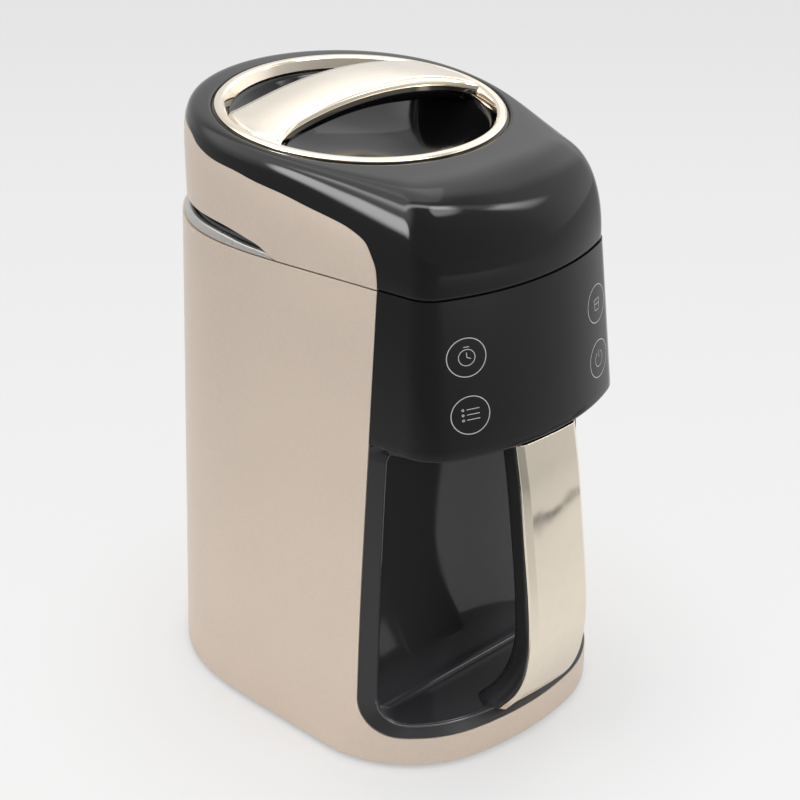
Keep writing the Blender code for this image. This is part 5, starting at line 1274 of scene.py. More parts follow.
class MILKMAKER_OT_cup(bpy.types.Operator):
    """Make the steel cup with its level marks, and its gasket"""

    bl_idname = "milk_maker.cup"
    bl_label = "Steel Cup"

    def execute(self, context):
        bend_z, bend_r = CUP_BOTTOM_Z + CUP_FILLET, CUP_RADIUS - CUP_FILLET
        outer = arc_points((bend_r, bend_z), CUP_FILLET, -math.pi / 2, 0, 14)
        inner = arc_points((bend_r, bend_z), CUP_FILLET - CUP_WALL, 0, -math.pi / 2, 14)
        neck = 0.0012
        up_outer = arc_points((CUP_RADIUS + neck, CUP_FLANGE_Z - neck), neck, math.pi, math.pi / 2, 5)
        up_inner = arc_points((CUP_RADIUS + neck, CUP_FLANGE_Z - neck), neck + CUP_WALL,
                              math.pi / 2, math.pi, 6)
        edge = arc_points((CUP_RADIUS + CUP_FLANGE - CUP_WALL / 2, CUP_FLANGE_Z + CUP_WALL / 2), CUP_WALL / 2,
                          -math.pi / 2, math.pi / 2, 7)
        walls = [(CUP_RADIUS, z) for z in np.linspace(bend_z + 0.01, CUP_FLANGE_Z - 0.01, 8)]
        inside = [(CUP_RADIUS - CUP_WALL, z) for z in np.linspace(CUP_FLANGE_Z - 0.01, bend_z + 0.01, 8)]
        profile = [(0, CUP_BOTTOM_Z), *outer, *walls, *up_outer, *edge, *up_inner, *inside, *inner,
                   (0, CUP_BOTTOM_Z + CUP_WALL)]
        cup = turned("steel_cup", profile, 128, CUP_AXIS)
        marks = []
        bead = ((0.0003, -0.0006), (-0.00035, -0.0003), (-0.00035, 0.0003), (0.0003, 0.0006))
        for level, spread in ((0.150, 0.26), (0.135, 0.13), (0.12, 0.13), (0.105, 0.26)):
            rings = []
            for turn in math.pi / 2 + np.linspace(-spread, spread, 24):
                outward = np.array((math.cos(turn), math.sin(turn)))
                middle = outward * (CUP_RADIUS - CUP_WALL)
                rings.append([(*(middle + outward * out + (0, CUP_Y)), level + up) for out, up in bead])
            marks.append(lofted("level_mark", rings))
        hand_over(merged("cup_level_marks", marks), "jug", "steel", "brushed_steel")
        hand_over(cup, "jug", "steel", "brushed_steel", "inner_cup")
        gasket = wall_between(CUP_RADIUS + 0.001, CUP_RADIUS + 0.004, RIM_DECK_Z + SEAT_GAP,
                              CUP_FLANGE_Z - SEAT_GAP)
        ring = turned("cup_seal", rounded(gasket, 0.0004), 128, CUP_AXIS)
        hand_over(ring, "jug", "silicone", "silicone", "cup_gasket")
        return {"FINISHED"}


INLET_Z = 0.028
INLET_HALF = (0.0123, 0.0093)
INLET_WALL = 0.003
INLET_DEPTH = 0.0175
PIN_HALF = (0.001, 0.002)
PIN_PITCH = 0.007
PIN_LIFT = 0.002


def inlet_face_y():
    plan = body_plan(INLET_Z)
    return plan[1] + plan[0] - 0.0006


def inlet_block(name, gap, overrun):
    half_x, half_z = INLET_HALF[0] + INLET_WALL + gap, INLET_HALF[1] + INLET_WALL + gap
    corners = rounded(rectangle(half_x, half_z), 0.002)
    front, back = inlet_face_y() - INLET_DEPTH - INLET_WALL - gap, inlet_face_y() + overrun
    return lofted(name, [[(x, y, INLET_Z + z) for x, z in corners] for y in (front, back)])


class MILKMAKER_OT_inlet(bpy.types.Operator):
    """Make the mains inlet low at the back, with its three pins"""

    bl_idname = "milk_maker.inlet"
    bl_label = "Mains Inlet"

    def execute(self, context):
        face, floor = inlet_face_y(), inlet_face_y() - INLET_DEPTH
        socket = inlet_block("inlet_housing", 0, 0)
        x, z = INLET_HALF
        bevel = 0.005
        corners = ((-x, -z), (x, -z), (x, z - bevel), (x - bevel, z), (bevel - x, z), (-x, z - bevel))
        corners = rounded(corners, 0.001)
        mouth = lofted("mouth", [[(u, y, INLET_Z + v) for u, v in corners] for y in (floor, face + 0.02)])
        combine(socket, "DIFFERENCE", mouth)
        ease(socket, 0.0004, 3)
        hand_over(socket, "jug", "black_plastic", "black_plastic", "inlet_socket")
        discard(mouth)
        blade = rounded(rectangle(*PIN_HALF), 0.0005)
        rings = [[(u * grow, y, v * grow) for u, v in blade]
                 for y, grow in ((0.0003, 1), (0.0138, 1), (0.0148, 0.92), (0.0155, 0.7))]
        pin = unseat(lofted("pin_master", rings))
        places = [(side * PIN_PITCH, floor, INLET_Z + (-PIN_LIFT if side else PIN_LIFT))
                  for side in (-1, 0, 1)]
        pins = repeated("inlet_pins", seat(places), pin, "brass")
        hand_over(pins, "jug", "brass", "brass", "inlet_pin_1", "inlet_pin_2", "inlet_pin_3")
        return {"FINISHED"}


COUPLER_Y = -0.082
COUPLER_HALF = (0.016, 0.009)
COUPLER_TOP_Z = 0.2455
COUPLER_CORNER = 0.0025
CONTACT_PITCH = 0.009
PLUG_LOW_Z = 0.246
PLUG_TOP_Z = 0.2489


def coupler_block(name, gap, overrun):
    x, y = COUPLER_HALF[0] + gap, COUPLER_HALF[1] + gap
    corners = rounded(rectangle(x, y), COUPLER_CORNER)
    return lofted(name, [[(u, COUPLER_Y + v, z) for u, v in corners]
                         for z in (COUPLER_TOP_Z - 0.0115 - gap, COUPLER_TOP_Z + overrun)])


def contact_places():
    return [(side * CONTACT_PITCH, COUPLER_Y, 0) for side in (-1, 0, 1)]


class MILKMAKER_OT_coupler(bpy.types.Operator):
    """Make both halves of the coupler between the jug and the head"""

    bl_idname = "milk_maker.coupler"
    bl_label = "Coupler"

    def execute(self, context):
        socket = coupler_block("coupler_receptacle", 0, 0)
        slots = [block("contact_slot", (x - 0.0033, y - 0.0011, COUPLER_TOP_Z - 0.0073),
                       (x + 0.0033, y + 0.0011, COUPLER_TOP_Z + 0.001)) for x, y, _ in contact_places()]
        combine(socket, "DIFFERENCE", *slots)
        ease(socket, 0.0004, 3)
        hand_over(socket, "jug", "black_plastic", "black_plastic", "coupler_socket")
        discard(*slots)
        corners = rounded(rectangle(*COUPLER_HALF), COUPLER_CORNER)
        plug = lofted("coupler_body", [[(u, COUPLER_Y + v, z) for u, v in corners]
                                       for z in (PLUG_LOW_Z, PLUG_TOP_Z)])
        ease(plug, 0.0004, 3)
        hand_over(plug, "head", "black_plastic", "black_plastic", "coupler_plug")
        section = rounded(rectangle(0.003, 0.0008), 0.0006)
        rings = [[(u * grow, v * grow, z) for u, v in section]
                 for z, grow in ((0.247, 1), (0.2402, 1), (0.2396, 0.9), (0.239, 0.6))]
        contact = unseat(lofted("contact_master", rings))
        contacts = repeated("coupler_contacts", seat(contact_places()), contact, "brass")
        hand_over(contacts, "head", "brass", "brass")
        return {"FINISHED"}


# Pieces of the head

def by_direction(values, turn):
    """Reads values given at DOME_ANGLES for directions counted from the front."""
    k = np.clip(np.searchsorted(DOME_ANGLES, turn, side="right") - 1, 0, len(DOME_ANGLES) - 2)
    angles, values = np.array(DOME_ANGLES), np.array(values, float)
    return lerp(values[k], values[k + 1], smooth((turn - angles[k]) / (angles[k + 1] - angles[k])))


def ring_point(turn, radius, drop):
    """Points of the tilted ring, drop below its plane."""
    x, y = radius * np.cos(turn), radius * np.sin(turn)
    return np.column_stack([x, RING_Y + y * math.cos(RING_TILT) + drop * math.sin(RING_TILT),
                            RING_Z + y * math.sin(RING_TILT) - drop * math.cos(RING_TILT)])


class DomeColumns:
    """Columns of the dome: each starts on the head's outline and ends at the ring, with its own rounding."""

    def __init__(self, shares):
        base = on_outline(HEAD_PLAN, shares, DOME_STEP)
        x, y = base[:, 0], base[:, 1] - RING_Y
        turn = np.degrees(np.abs(np.arctan2(x, -y)))
        self.start = np.column_stack([base, np.full(len(base), HEAD_BOTTOM_Z)])
        self.end = ring_point(np.arctan2(y, x), DOME_EDGE_RADIUS, DOME_EDGE_DROP)
        self.end[:, 0] = np.where(x < 1e-9, 0, self.end[:, 0])
        self.run_power = by_direction(DOME_RUN_POWERS, turn)
        self.rise_power = by_direction(DOME_RISE_POWERS, turn)

    def at_height(self, z):
        """The points at height z of each column."""
        rise = np.clip((z - HEAD_BOTTOM_Z) / (self.end[:, 2] - HEAD_BOTTOM_Z), 0, 1)
        run = 1 - (1 - rise**self.rise_power) ** (1 / self.run_power)
        points = self.start + (self.end - self.start) * run[:, None]
        points[:, 2] = lerp(HEAD_BOTTOM_Z, self.end[:, 2], rise)
        return points

    def low_height(self):
        return low_edge(self.start[:, 1])

    def curve(self, column, count):
        """One column's line from its lower edge to the ring, evenly spaced."""
        top = self.end[column, 2] - HEAD_BOTTOM_Z
        low = (self.low_height()[column] - HEAD_BOTTOM_Z) / top
        p, q = self.run_power[column], self.rise_power[column]
        first = math.atan2(low, (1 - low**q) ** (1 / p))
        turns = np.linspace(first, math.pi / 2, 260)
        near, far = np.zeros(260), np.full(260, 2.0)
        for _ in range(44):
            middle = (near + far) / 2
            outside = (middle * np.cos(turns)) ** p + (middle * np.sin(turns)) ** q > 1
            near, far = np.where(outside, near, middle), np.where(outside, middle, far)
        run, rise = 1 - near * np.cos(turns), near * np.sin(turns)
        start, end = self.start[column], self.end[column]
        points = start + (end - start) * run[:, None]
        points[:, 2] = lerp(start[2], end[2], rise)
        return resampled(points, count)


def low_edge(y):
    """The height of the head's lower edge at depth y, which lifts at the back for pouring."""
    return PARTING_Z + through(SLIT_RISES, y)


class MILKMAKER_OT_dome(bpy.types.Operator):
    """Make the gloss black dome of the head"""

    bl_idname = "milk_maker.dome"
    bl_label = "Dome"

    def execute(self, context):
        shares = np.linspace(0, 1, 170)
        columns = DomeColumns(shares)
        grid = np.array([columns.curve(i, 64) for i in range(len(shares))]).transpose(1, 0, 2)
        turn = np.arctan2(columns.start[:, 1] - RING_Y, columns.start[:, 0])
        rows = [ring_point(turn, radius, drop) for radius, drop in
                ((0.0716, 0.0006), (0.0713, 0.0011), (0.071, 0.0022), (0.0702, 0.0024), (0.0668, 0.0024))]
        for row in rows:
            row[[0, -1], 0] = 0
        dome = half_sheets("black_dome", np.concatenate([grid, np.array(rows)]))
        thicken(dome, 0.0022)
        hand_over(dome, "head", "gloss_black", "piano_black", "head_shell")
        return {"FINISHED"}


class MILKMAKER_OT_side_band(bpy.types.Operator):
    """Make the painted band round the head's sides and back"""

    bl_idname = "milk_maker.side_band"
    bl_label = "Side Band"

    def execute(self, context):
        edge = polyline(BAND_EDGE, 170)
        fine = polyline(BAND_EDGE, 700)
        corner = edge[edge[:, 0] < -0.045]
        near, far = np.zeros(len(corner)), np.ones(len(corner))
        for _ in range(40):
            middle = (near + far) / 2
            before = DomeColumns(middle).at_height(corner[:, 1])[:, 1] < corner[:, 0]
            near, far = np.where(before, near, middle), np.where(before, middle, far)
        back_shares = np.linspace(0, near[0], 110)[:-1]
        shares = np.concatenate([back_shares, near])
        columns = DomeColumns(shares)
        top = np.full(len(shares), 0.28)
        for _ in range(12):
            depth = columns.at_height(top)[:, 1]
            top = np.interp(-depth, -fine[:, 0], fine[:, 1])
        top[len(back_shares):] = corner[:, 1]
        low = np.minimum(columns.low_height(), top - 0.00001)
        rows = [columns.at_height(lerp(low, top, share)) for share in np.linspace(0, 1, 16)]
        band = half_sheets("side_band", np.array(rows))
        proud = sizes().band_stand
        wall = 0.0009
        thicken(band, wall, proud / wall)
        ease(band, 0.0002, 2, 50)
        hand_over(band, "head", "champagne_paint", "champagne_paint", "head_band")
        return {"FINISHED"}


def tilted(piece):
    """Leans a piece made about the origin as the ring leans, and puts it in the ring's place."""
    place = Matrix.Translation((0, RING_Y + SHIFT, RING_Z + DROP))
    piece.data.transform(place @ Matrix.Rotation(RING_TILT, 4, "X"))
    return piece


class MILKMAKER_OT_ring(bpy.types.Operator):
    """Make the plated ring and the black finger bowl"""

    bl_idname = "milk_maker.ring"
    bl_label = "Ring and Bowl"

    def execute(self, context):
        size = sizes()
        outer, width = size.ring_radius, size.ring_width
        inner = outer - width
        throat = inner - 0.0026
        corners = [(outer, -0.0032), (outer, 0.0001), (outer - 0.0012, 0.0009), (inner + 0.0011, 0.0009),
                   (inner, 0.0001), (throat, -0.0042), (throat + 0.001, -0.0052), (inner + 0.0016, -0.0032)]
        profile = [(r - outer, z) for r, z in rounded(corners, 0.0004, 4)]
        ring = spun_ring("gold_ring", outer, profile, "pale_gold")
        shape = bmesh.new()
        shape.from_mesh(ring.data)
        bmesh.ops.recalc_face_normals(shape, faces=shape.faces)
        shape.to_mesh(ring.data)
        shape.free()
        ring.data.shade_smooth()
        tilted(ring)
        hand_over(ring, "head", "plated_gold", "pale_gold", "top_ring")
        skirt = throat + 0.0006
        depth, shoulder = -0.03, -0.0046
        steps = np.linspace(0, 1, 34)
        dish = [(skirt * s, lerp(depth, shoulder, s**3)) for s in steps]
        under = [(r, z - 0.003) for r, z in dish[-2::-1]]
        profile = [*dish, (inner + 0.0018, -0.0056), (inner + 0.0021, -0.0035), (0.0708, -0.0035),
                   (0.0708, -0.0059), (inner + 0.0045, -0.0059), (inner + 0.0035, shoulder - 0.003), *under]
        bowl = tilted(unseat(turned("finger_bowl", profile, 128)))
        hand_over(bowl, "head", "gloss_black", "piano_black", "grip_bowl")
        return {"FINISHED"}


BAR_FRONT = 0.0095
BAR_BACK = 0.0234
BAR_THICKNESS = 0.0055


class MILKMAKER_OT_carry_bar(bpy.types.Operator):
    """Make the arched carry bar and the grip under it"""

    bl_idname = "milk_maker.carry_bar"
    bl_label = "Carry Bar"

    def execute(self, context):
        size = sizes()
        reach = size.ring_radius - size.ring_width + 0.0004
        plated, satin, grip = [], [], []
        for x in np.sin(np.linspace(-math.pi / 2, math.pi / 2, 91)) * reach:
            share = abs(x) / reach
            front = -(BAR_FRONT + 0.011 * share**9)
            back = BAR_BACK + 0.0045 * share**9
            limit = math.sqrt(max((size.ring_radius - size.ring_width + 0.0005) ** 2 - x**2, 1e-8))
            front, back = max(front, -limit), min(back, limit)
            rise = size.bar_rise * (1 - share**2) + 0.0004
            middle, half = (front + back) / 2, (back - front) / 2
            bevel = min(0.0026, half * 0.3)
            across = np.linspace(front + bevel, back - bevel * 0.4, 13)
            crown = rise + 0.0012 * (1 - ((across - middle) / max(half, 1e-6)) ** 2)
            low = rise - BAR_THICKNESS
            section = [(front + 0.0006, low), (front, rise - 0.0034), (front + 0.0003, rise - 0.0014),
                       (front + 0.0011, rise - 0.0004), *zip(across, crown - 0.00012), (back, rise - 0.0012),
                       (back, low)]
            plated.append([(x, y, z) for y, z in section])
            satin.append([(x, y, z) for y, z in zip(across, crown)])
            depth = lerp(0.009, 0.0036, share**4)
            first, last = front + 0.002, back - 0.002
            belly = [(lerp(last, first, t), low - 0.0002 - depth * max(math.sin(math.pi * t), 0) ** 0.5)
                     for t in np.linspace(0, 1, 17)]
            grip.append([(x * (reach - 0.0036) / reach, y, z) for y, z in belly])
        self.leaned(lofted("bar_body", plated), "pale_gold", "plated_gold", "carry_bar", 0.0003)
        sheet = np.array(satin)
        rows, columns = sheet.shape[:2]
        faces = grid_faces(rows, columns)
        cover = object_of("bar_cover", clean_mesh("bar_cover", sheet.reshape(-1, 3), faces))
        thicken(cover, 0.0003, 0.3)
        self.leaned(cover, "satin_gold", "plated_gold", None, 0.0)
        self.leaned(lofted("bar_underside", grip), "piano_black", "gloss_black", "bar_grip", 0.0004)
        return {"FINISHED"}

    def leaned(self, piece, look, slot, node, edge):
        tilted(unseat(piece))
        if edge:
            ease(piece, edge, 2, 42)
        hand_over(piece, "head", slot, look, *([node] if node else []))


class MILKMAKER_OT_head_floor(bpy.types.Operator):
    """Make the plate under the head with its neck, seal and motor can"""

    bl_idname = "milk_maker.head_floor"
    bl_label = "Head Floor"

    def execute(self, context):
        inset, low = 0.0043, 0.2492
        rows = [(inset + 0.0006, low), (inset, low + 0.0006), (inset, low + 0.0048),
                (inset + 0.002, low + 0.0048), (inset + 0.002, low + 0.0024)]
        floor = lofted("head_plate", [closed_ring(HEAD_PLAN, z, i, 90) for i, z in rows])
        hole = turned("can_hole", wall_between(0, CAN_RADIUS + SEAT_GAP, 0.2, 0.3), 96, CUP_AXIS)
        combine(floor, "DIFFERENCE", hole)
        neck = turned("neck", rounded(wall_between(0.055, 0.0575, 0.236, 0.2495), 0.0006, 4), 128, CUP_AXIS)
        whole = merged("head_plate", [floor, neck])
        discard(hole)
        hand_over(whole, "head", "black_plastic", "black_plastic", "head_base")
        lips = [(0.0578, 0.238), (0.0584, 0.238), (0.0587, 0.2388), (0.0584, 0.2394), (0.0587, 0.2401),
                (0.0584, 0.2407), (0.0587, 0.2414), (0.0584, 0.242), (0.0578, 0.242)]
        seal = turned("neck_seal", lips, 128, CUP_AXIS)
        hand_over(seal, "head", "silicone", "silicone", "head_seal")
        bend = arc_points((CAN_RADIUS - 0.003, 0.195), 0.003, -math.pi / 2, 0, 7)
        can = [(0.0043, 0.192), (0.0405, 0.192), *bend, (CAN_RADIUS, 0.2515), (0.05, 0.2519), (0.05, 0.2531),
               (0.0428, 0.2531), (0.0428, 0.1938), (0.0043, 0.1938)]
        housing = turned("motor_can", can, 128, CUP_AXIS)
        hand_over(housing, "head", "steel", "brushed_steel", "motor_housing")
        return {"FINISHED"}


class MILKMAKER_OT_drive(bpy.types.Operator):
    """Make the sleeve, the shaft, the blade with its nut and the probes"""

    bl_idname = "milk_maker.drive"
    bl_label = "Drive and Probes"

    def execute(self, context):
        profile = [(0.0058, 0.0846), (0.0064, 0.084), (0.007, 0.0846), (0.007, 0.1845), (0.0088, 0.1853),
                   (0.0115, 0.1855), (0.0115, 0.1905), (0.016, 0.1906), (0.016, 0.1917), (0.0103, 0.1917),
                   (0.0103, 0.1865), (0.0058, 0.1865)]
        sleeve = turned("shaft_tube", rounded(profile, 0.0005, 3), 72, CUP_AXIS)
        hand_over(sleeve, "head", "steel", "brushed_steel", "shaft_sleeve")
        tip = rounded(wall_between(0, SHAFT_RADIUS, 0.067, 0.2494), 0.0008, 4, closed=False)
        shaft = turned("spindle", tip, 48, CUP_AXIS)
        hand_over(shaft, "rotor", "steel", "brushed_steel", "drive_shaft")
        self.blade()
        self.nut()
        self.probes()
        return {"FINISHED"}

    def blade(self):
        """Two crossed wings on a hub, one pair bent down and one up."""
        hub_profile = wall_between(SHAFT_RADIUS + SEAT_GAP, HUB_RADIUS, BLADE_Z - 0.0015, BLADE_Z + 0.0015)
        hub = turned("hub", rounded(hub_profile, 0.0005, 4), 64, CUP_AXIS)
        wings = []
        for turn, bend in ((0, -BLADE_BEND), (math.pi / 2, BLADE_BEND)):
            rows = []
            for share in np.linspace(-1, 1, 41):
                reach = abs(share)
                lift = bend * smooth((reach - 0.3) / 0.7) * (0.4 + 0.6 * reach)
                width = 0.0045 * (1 - 0.55 * smooth((reach - 0.35) / 0.65))
                edge = 0.00065 * (1 - 0.7 * smooth((reach - 0.4) / 0.3))
                x = share * BLADE_REACH
                twist = 0.0004 * math.copysign(1, share) * smooth(reach * 2)
                section = [(-width, -edge - twist), (0, -0.00065), (width, -0.00065 + twist),
                           (width, 0.00065 + twist), (0, 0.00065), (-width, edge - twist)]
                rows.append([(x * math.cos(turn) - y * math.sin(turn),
                              CUP_Y + x * math.sin(turn) + y * math.cos(turn),
                              BLADE_Z + lift + z) for y, z in section])
            wings.append(lofted("wing", rows))
        bore = turned("bore", wall_between(0, SHAFT_RADIUS + SEAT_GAP, 0.06, 0.1), 48, CUP_AXIS)
        combine(hub, "UNION", *wings)
        combine(hub, "DIFFERENCE", bore)
        hub.name = "chopping_blade"
        ease(hub, 0.00015, 2, 50)
        hand_over(hub, "rotor", "steel", "brushed_steel", "blade")
        discard(*wings, bore)

    def nut(self):
        turns = np.arange(6) * math.pi / 3
        rings = [[(NUT_RADIUS * grow * math.cos(t), CUP_Y + NUT_RADIUS * grow * math.sin(t), z)
                  for t in turns]
                 for z, grow in ((0.0732, 0.9), (0.0736, 1.0), (0.0776, 1.0), (0.078, 0.92))]
        nut = lofted("lock_nut", rings)
        hole = turned("nut_hole", wall_between(0, SHAFT_RADIUS + 0.0004, 0.06, 0.09), 40, CUP_AXIS)
        combine(nut, "DIFFERENCE", hole)
        ease(nut, 0.0002, 2, 30)
        hand_over(nut, "rotor", "steel", "zinc_steel", "blade_nut")
        discard(hole)

    def probes(self):
        for name, node, reach, turn in (("overflow_rod", "overflow_probe", 0.05, -112),
                                        ("temperature_rod", "temperature_probe", 0.1, -68)):
            turn, low = math.radians(turn), PROBE_TOP_Z - reach
            place = (PROBE_CIRCLE * math.cos(turn), CUP_Y + PROBE_CIRCLE * math.sin(turn), 0)
            tip = arc_points((0, low + PROBE_RADIUS), PROBE_RADIUS, -math.pi / 2, 0, 8)[1:]
            profile = [(0, low), *tip, (PROBE_RADIUS, PROBE_TOP_Z), (0, PROBE_TOP_Z)]
            rod = turned(name, profile, 40, place)
            hand_over(rod, "head", "steel", "brushed_steel", node)


KEPT_NODES = {
    "black_plastic": ("motor_fan", "heater_relay", "display_module"),
    "rubber": ("motor_damper", "shaft_seal"),
    "silicone": ("touch_pad_1", "touch_pad_2", "touch_pad_3", "touch_pad_4"),
    "cast_aluminium": ("heater_plate", "thermal_cutout", "upper_bracket"),
    "circuit_board": ("power_board", "touch_board"),
    "wound_copper": ("motor_stator", "motor_rotor", "transformer"),
    "brass": ("sleeve_bush",),
    "brushed_steel": ("lower_bearing", "upper_bearing", "heating_tube"),
}


class MILKMAKER_OT_works(bpy.types.Operator):
    """Give the works inside the machine their finishes"""

    bl_idname = "milk_maker.works"
    bl_label = "Works Inside"

    def execute(self, context):
        for look, names in KEPT_NODES.items():
            for name in names:
                slots = NODES[name].data.materials
                slots.clear()
                slots.append(material(look))
        return {"FINISHED"}


# The studio

CAMERA_PLACE = Vector((-0.549089, -0.606842 + SHIFT, 0.571077 + DROP))
VIEWER_SIDE = (-0.681, -0.732, 0)
CAMERA_TURN = (math.radians(-42.92216), math.radians(27.49909), math.radians(0.23748))
# How far out the dark line lies that is painted on the floor for reflections only, which the handle's strip
# mirrors
REFLECTED_LINE_REACH = 0.56
# Patches of light in the sky: azimuth, elevation, the nearness at which each starts and is full, strength
SKY_PATCHES = ((137, 8, -1, 0.9, 0.5), (-125, 38, 0.72, 0.95, 1.6), (150, 75, 0.8, 0.98, 0.6),
               (112, 40, 0.85, 0.97, 0.6), (-105, 9, 0.985, 0.998, 11.0), (22, 56, 0.975, 0.995, 5.0),
               (78, 20, 0.8, 0.98, 0.4))


def lamp(name, place, target, size, power):
    light = bpy.data.lights.new(name, "AREA")
    light.shape = "RECTANGLE"
    light.size, light.size_y = size
    light.energy = power
    holder = bpy.data.objects.new(name, light)
    holder.location = place
    holder.rotation_euler = (Vector(target) - Vector(place)).to_track_quat("-Z", "Y").to_euler()
    bpy.context.scene.collection.objects.link(holder)
    return holder


class MILKMAKER_OT_studio(bpy.types.Operator):
    """Make the floor, the lamps, the world and the camera"""

    bl_idname = "milk_maker.studio"
    bl_label = "Studio"

    def execute(self, context):
        studio = context.scene.milk_maker_studio
        self.floor()
        self.world(studio)
        lamp("overhead_softbox", (0.1, 0.25, 1.5), (0, 0, 0.2), (1.3, 0.9), studio.softbox)
        lamp("side_softbox", (-1.3, 0.25, 0.8), (0, 0, 0.15), (0.7, 1.0), studio.side_light)
        front = lamp("front_fill", (0.1, -1.5, 0.3), (0, 0, 0.06), (1.0, 0.5), studio.front_light)
        front.visible_glossy = False
        self.camera(studio)
        context.scene.view_settings.view_transform = "Standard"
        return {"FINISHED"}

    def floor(self):
        mesh = bpy.data.meshes.new("studio_floor")
        reach = 9.0
        mesh.from_pydata([(-reach, -reach, 0), (reach, -reach, 0), (reach, reach, 0), (-reach, reach, 0)], [],
                         [(0, 1, 2, 3)])
        floor = object_of("studio_floor", mesh)
        look = Look(bpy.data.materials.new("floor_paper"))
        rays = look.node("ShaderNodeLightPath")
        place = look.position()
        reach = look.field("ShaderNodeVectorMath", {"operation": "LENGTH"}, {0: place}, 1)
        heading = look.field("ShaderNodeVectorMath", {"operation": "NORMALIZE"}, {0: place})
        # Painted reflection: glossy rays see the floor darker further out, most of all on the viewer's side,
        # a painted shade that the panel and the strip mirror.
        far = look.spread(look.dot(heading, (-0.819, -0.574, 0)), -1, 1, 1.0, 0.25)
        fading = look.spread(reach, 0.2, 0.75, 0, 1)
        glossy = Field(look, rays.outputs["Is Glossy Ray"])
        painted_reflection_tone = 1 - glossy * fading * (1 - far)
        # Painted reflection: a faint wavy dark line on the floor towards the front right, seen only by glossy
        # rays, which the handle's strip mirrors.
        beside = look.spread(look.dot(heading, (0.598, -0.801, 0)), 0.9, 0.96, 0, 1)
        wavy_reach = reach + look.noise(9, 2) * 0.16
        line = look.spread(look.size(wavy_reach - REFLECTED_LINE_REACH), 0.008, 0.03, 0.7, 0)
        line = line + look.spread(wavy_reach, REFLECTED_LINE_REACH, REFLECTED_LINE_REACH + 0.06, 0, 0.05)
        painted_reflection_tone = painted_reflection_tone * (1 - glossy * line * beside)
        grain = look.noise(300, 2)
        colour = colours().floor
        base = look.mix(painted_reflection_tone * look.spread(grain, 0, 1, 0.985, 1.0), (0, 0, 0, 1), shaded(colour, 1))
        paper = look.node("ShaderNodeBsdfPrincipled", {},
                          {"Base Color": base, "Roughness": look.spread(grain, 0.3, 0.7, 0.7, 0.8),
                           "Specular IOR Level": 0.1})
        # Painted light: the floor seen by the camera glows, brighter towards the viewer, and the glow hides
        # more of its shadow away from the machine.
        along = look.dot(place, VIEWER_SIDE)
        glow = look.node("ShaderNodeEmission", {}, {"Strength": look.spread(along, -1.3, 0.35, 0.78, 0.94)})
        share = Field(look, rays.outputs["Is Camera Ray"]) * look.spread(reach, 0.1, 0.2, 0.42, 0.85)
        both = look.node("ShaderNodeMixShader", {}, {0: share})
        out = look.node("ShaderNodeOutputMaterial")
        look.tree.links.new(paper.outputs[0], both.inputs[1])
        look.tree.links.new(glow.outputs[0], both.inputs[2])
        look.tree.links.new(both.outputs[0], out.inputs[0])
        mesh.materials.append(look.holder)

    def world(self, studio):
        world = bpy.data.worlds.new("studio_world")
        bpy.context.scene.world = world
        look = Look(world)
        rays = look.node("ShaderNodeLightPath")
        seen = Field(look, rays.outputs["Is Glossy Ray"]) + Field(look, rays.outputs["Is Transmission Ray"])
        seen = seen.at_most(1.0)
        heading = look.field("ShaderNodeTexCoord", output="Generated")

        def towards(azimuth, elevation, first, last, strength):
            """Light that grows as a ray turns towards a direction, given in degrees from the front."""
            a, e = math.radians(azimuth), math.radians(elevation)
            aim = (math.sin(a) * math.cos(e), -math.cos(a) * math.cos(e), math.sin(e))
            sockets = {"Value": look.dot(heading, aim), "From Min": first, "From Max": last, "To Min": 0,
                       "To Max": strength}
            return look.field("ShaderNodeMapRange", {"interpolation_type": "SMOOTHSTEP"}, sockets)

        soft = sum(towards(*patch) for patch in SKY_PATCHES)
        # A narrow arc of light overhead, whose plane lies a little off the machine's middle
        off = look.size(look.dot(heading, (0.427, 0.871, 0.239)) + 0.045)
        strip = look.spread(off, 0.025, 0.085, 6.5, 0) * look.spread(look.height_of(heading), 0.42, 0.6, 0, 1)
        strip = strip * (1 - towards(46, 48, 0.985, 0.997, 0.85))
        strength = (1 - seen) * studio.daylight + seen * (soft + strip + 0.3)
        sky = look.node("ShaderNodeBackground", {}, {"Color": (1, 1, 1, 1), "Strength": strength})
        out = look.node("ShaderNodeOutputWorld")
        look.tree.links.new(sky.outputs[0], out.inputs[0])

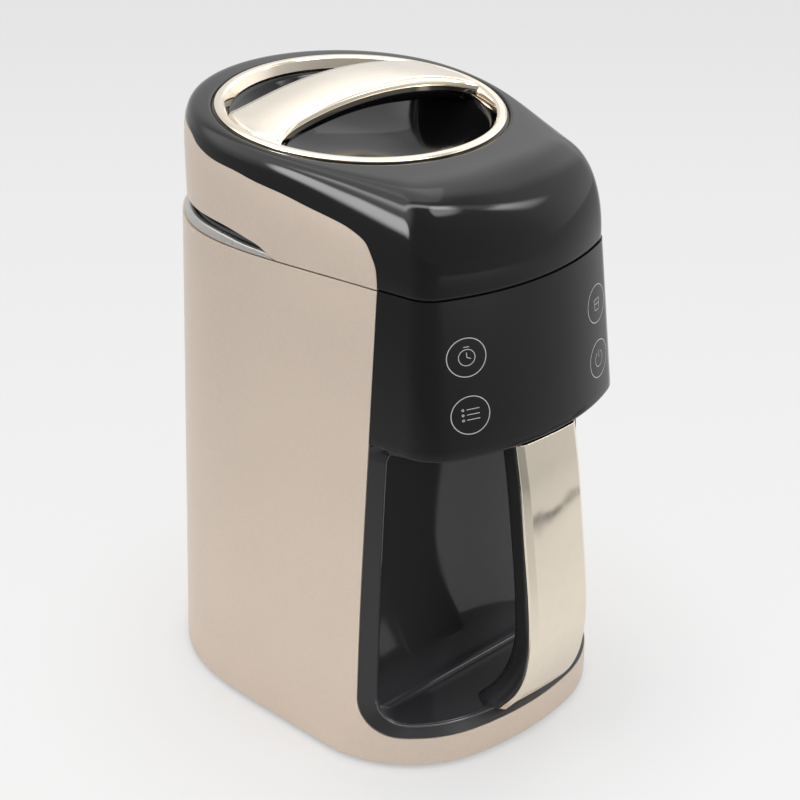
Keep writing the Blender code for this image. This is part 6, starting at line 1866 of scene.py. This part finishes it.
    def camera(self, studio):
        azimuth, elevation, roll = CAMERA_TURN
        back = Vector((math.sin(azimuth) * math.cos(elevation), -math.cos(azimuth) * math.cos(elevation),
                       math.sin(elevation)))
        level = Vector((math.cos(azimuth), math.sin(azimuth), 0))
        upright = back.cross(level)
        right = level * math.cos(roll) + upright * math.sin(roll)
        up = upright * math.cos(roll) - level * math.sin(roll)
        camera = bpy.data.cameras.new("studio_camera")
        camera.lens = studio.lens
        camera.sensor_width = 36
        camera.clip_start = 0.01
        holder = bpy.data.objects.new("studio_camera", camera)
        turn = Matrix((right, up, back)).transposed().to_4x4()
        holder.matrix_world = Matrix.Translation(CAMERA_PLACE) @ turn
        bpy.context.scene.collection.objects.link(holder)
        bpy.context.scene.camera = holder


PIECE_OPERATORS = (
    MILKMAKER_OT_shell, MILKMAKER_OT_base, MILKMAKER_OT_well, MILKMAKER_OT_handle, MILKMAKER_OT_panel,
    MILKMAKER_OT_rim, MILKMAKER_OT_cup, MILKMAKER_OT_inlet, MILKMAKER_OT_coupler, MILKMAKER_OT_dome,
    MILKMAKER_OT_side_band, MILKMAKER_OT_ring, MILKMAKER_OT_carry_bar, MILKMAKER_OT_head_floor,
    MILKMAKER_OT_drive, MILKMAKER_OT_works, MILKMAKER_OT_studio)


class MILKMAKER_PT_panel(bpy.types.Panel):
    """Sizes, colours and pieces of the soy milk maker"""

    bl_idname = "MILKMAKER_PT_panel"
    bl_label = "Soy Milk Maker"
    bl_space_type = "VIEW_3D"
    bl_region_type = "UI"
    bl_category = "Soy Milk Maker"

    def draw(self, context):
        scene = context.scene
        for group in (scene.milk_maker_sizes, scene.milk_maker_colours, scene.milk_maker_studio):
            box = self.layout.box()
            for name in group.__annotations__:
                box.prop(group, name)
        for operator in PIECE_OPERATORS:
            self.layout.operator(operator.bl_idname)


CLASSES = (MilkMakerSizes, MilkMakerColours, MilkMakerStudio, *PIECE_OPERATORS, MILKMAKER_PT_panel)


def register():
    for made in CLASSES:
        bpy.utils.register_class(made)
    bpy.types.Scene.milk_maker_sizes = PointerProperty(type=MilkMakerSizes)
    bpy.types.Scene.milk_maker_colours = PointerProperty(type=MilkMakerColours)
    bpy.types.Scene.milk_maker_studio = PointerProperty(type=MilkMakerStudio)


def unregister():
    del bpy.types.Scene.milk_maker_studio
    del bpy.types.Scene.milk_maker_colours
    del bpy.types.Scene.milk_maker_sizes
    for made in reversed(CLASSES):
        bpy.utils.unregister_class(made)


def main():
    register()
    for made in PIECE_OPERATORS:
        group, name = made.bl_idname.split(".")
        getattr(getattr(bpy.ops, group), name)()
    bpy.context.view_layer.update()


if __name__ == "__main__":
    main()
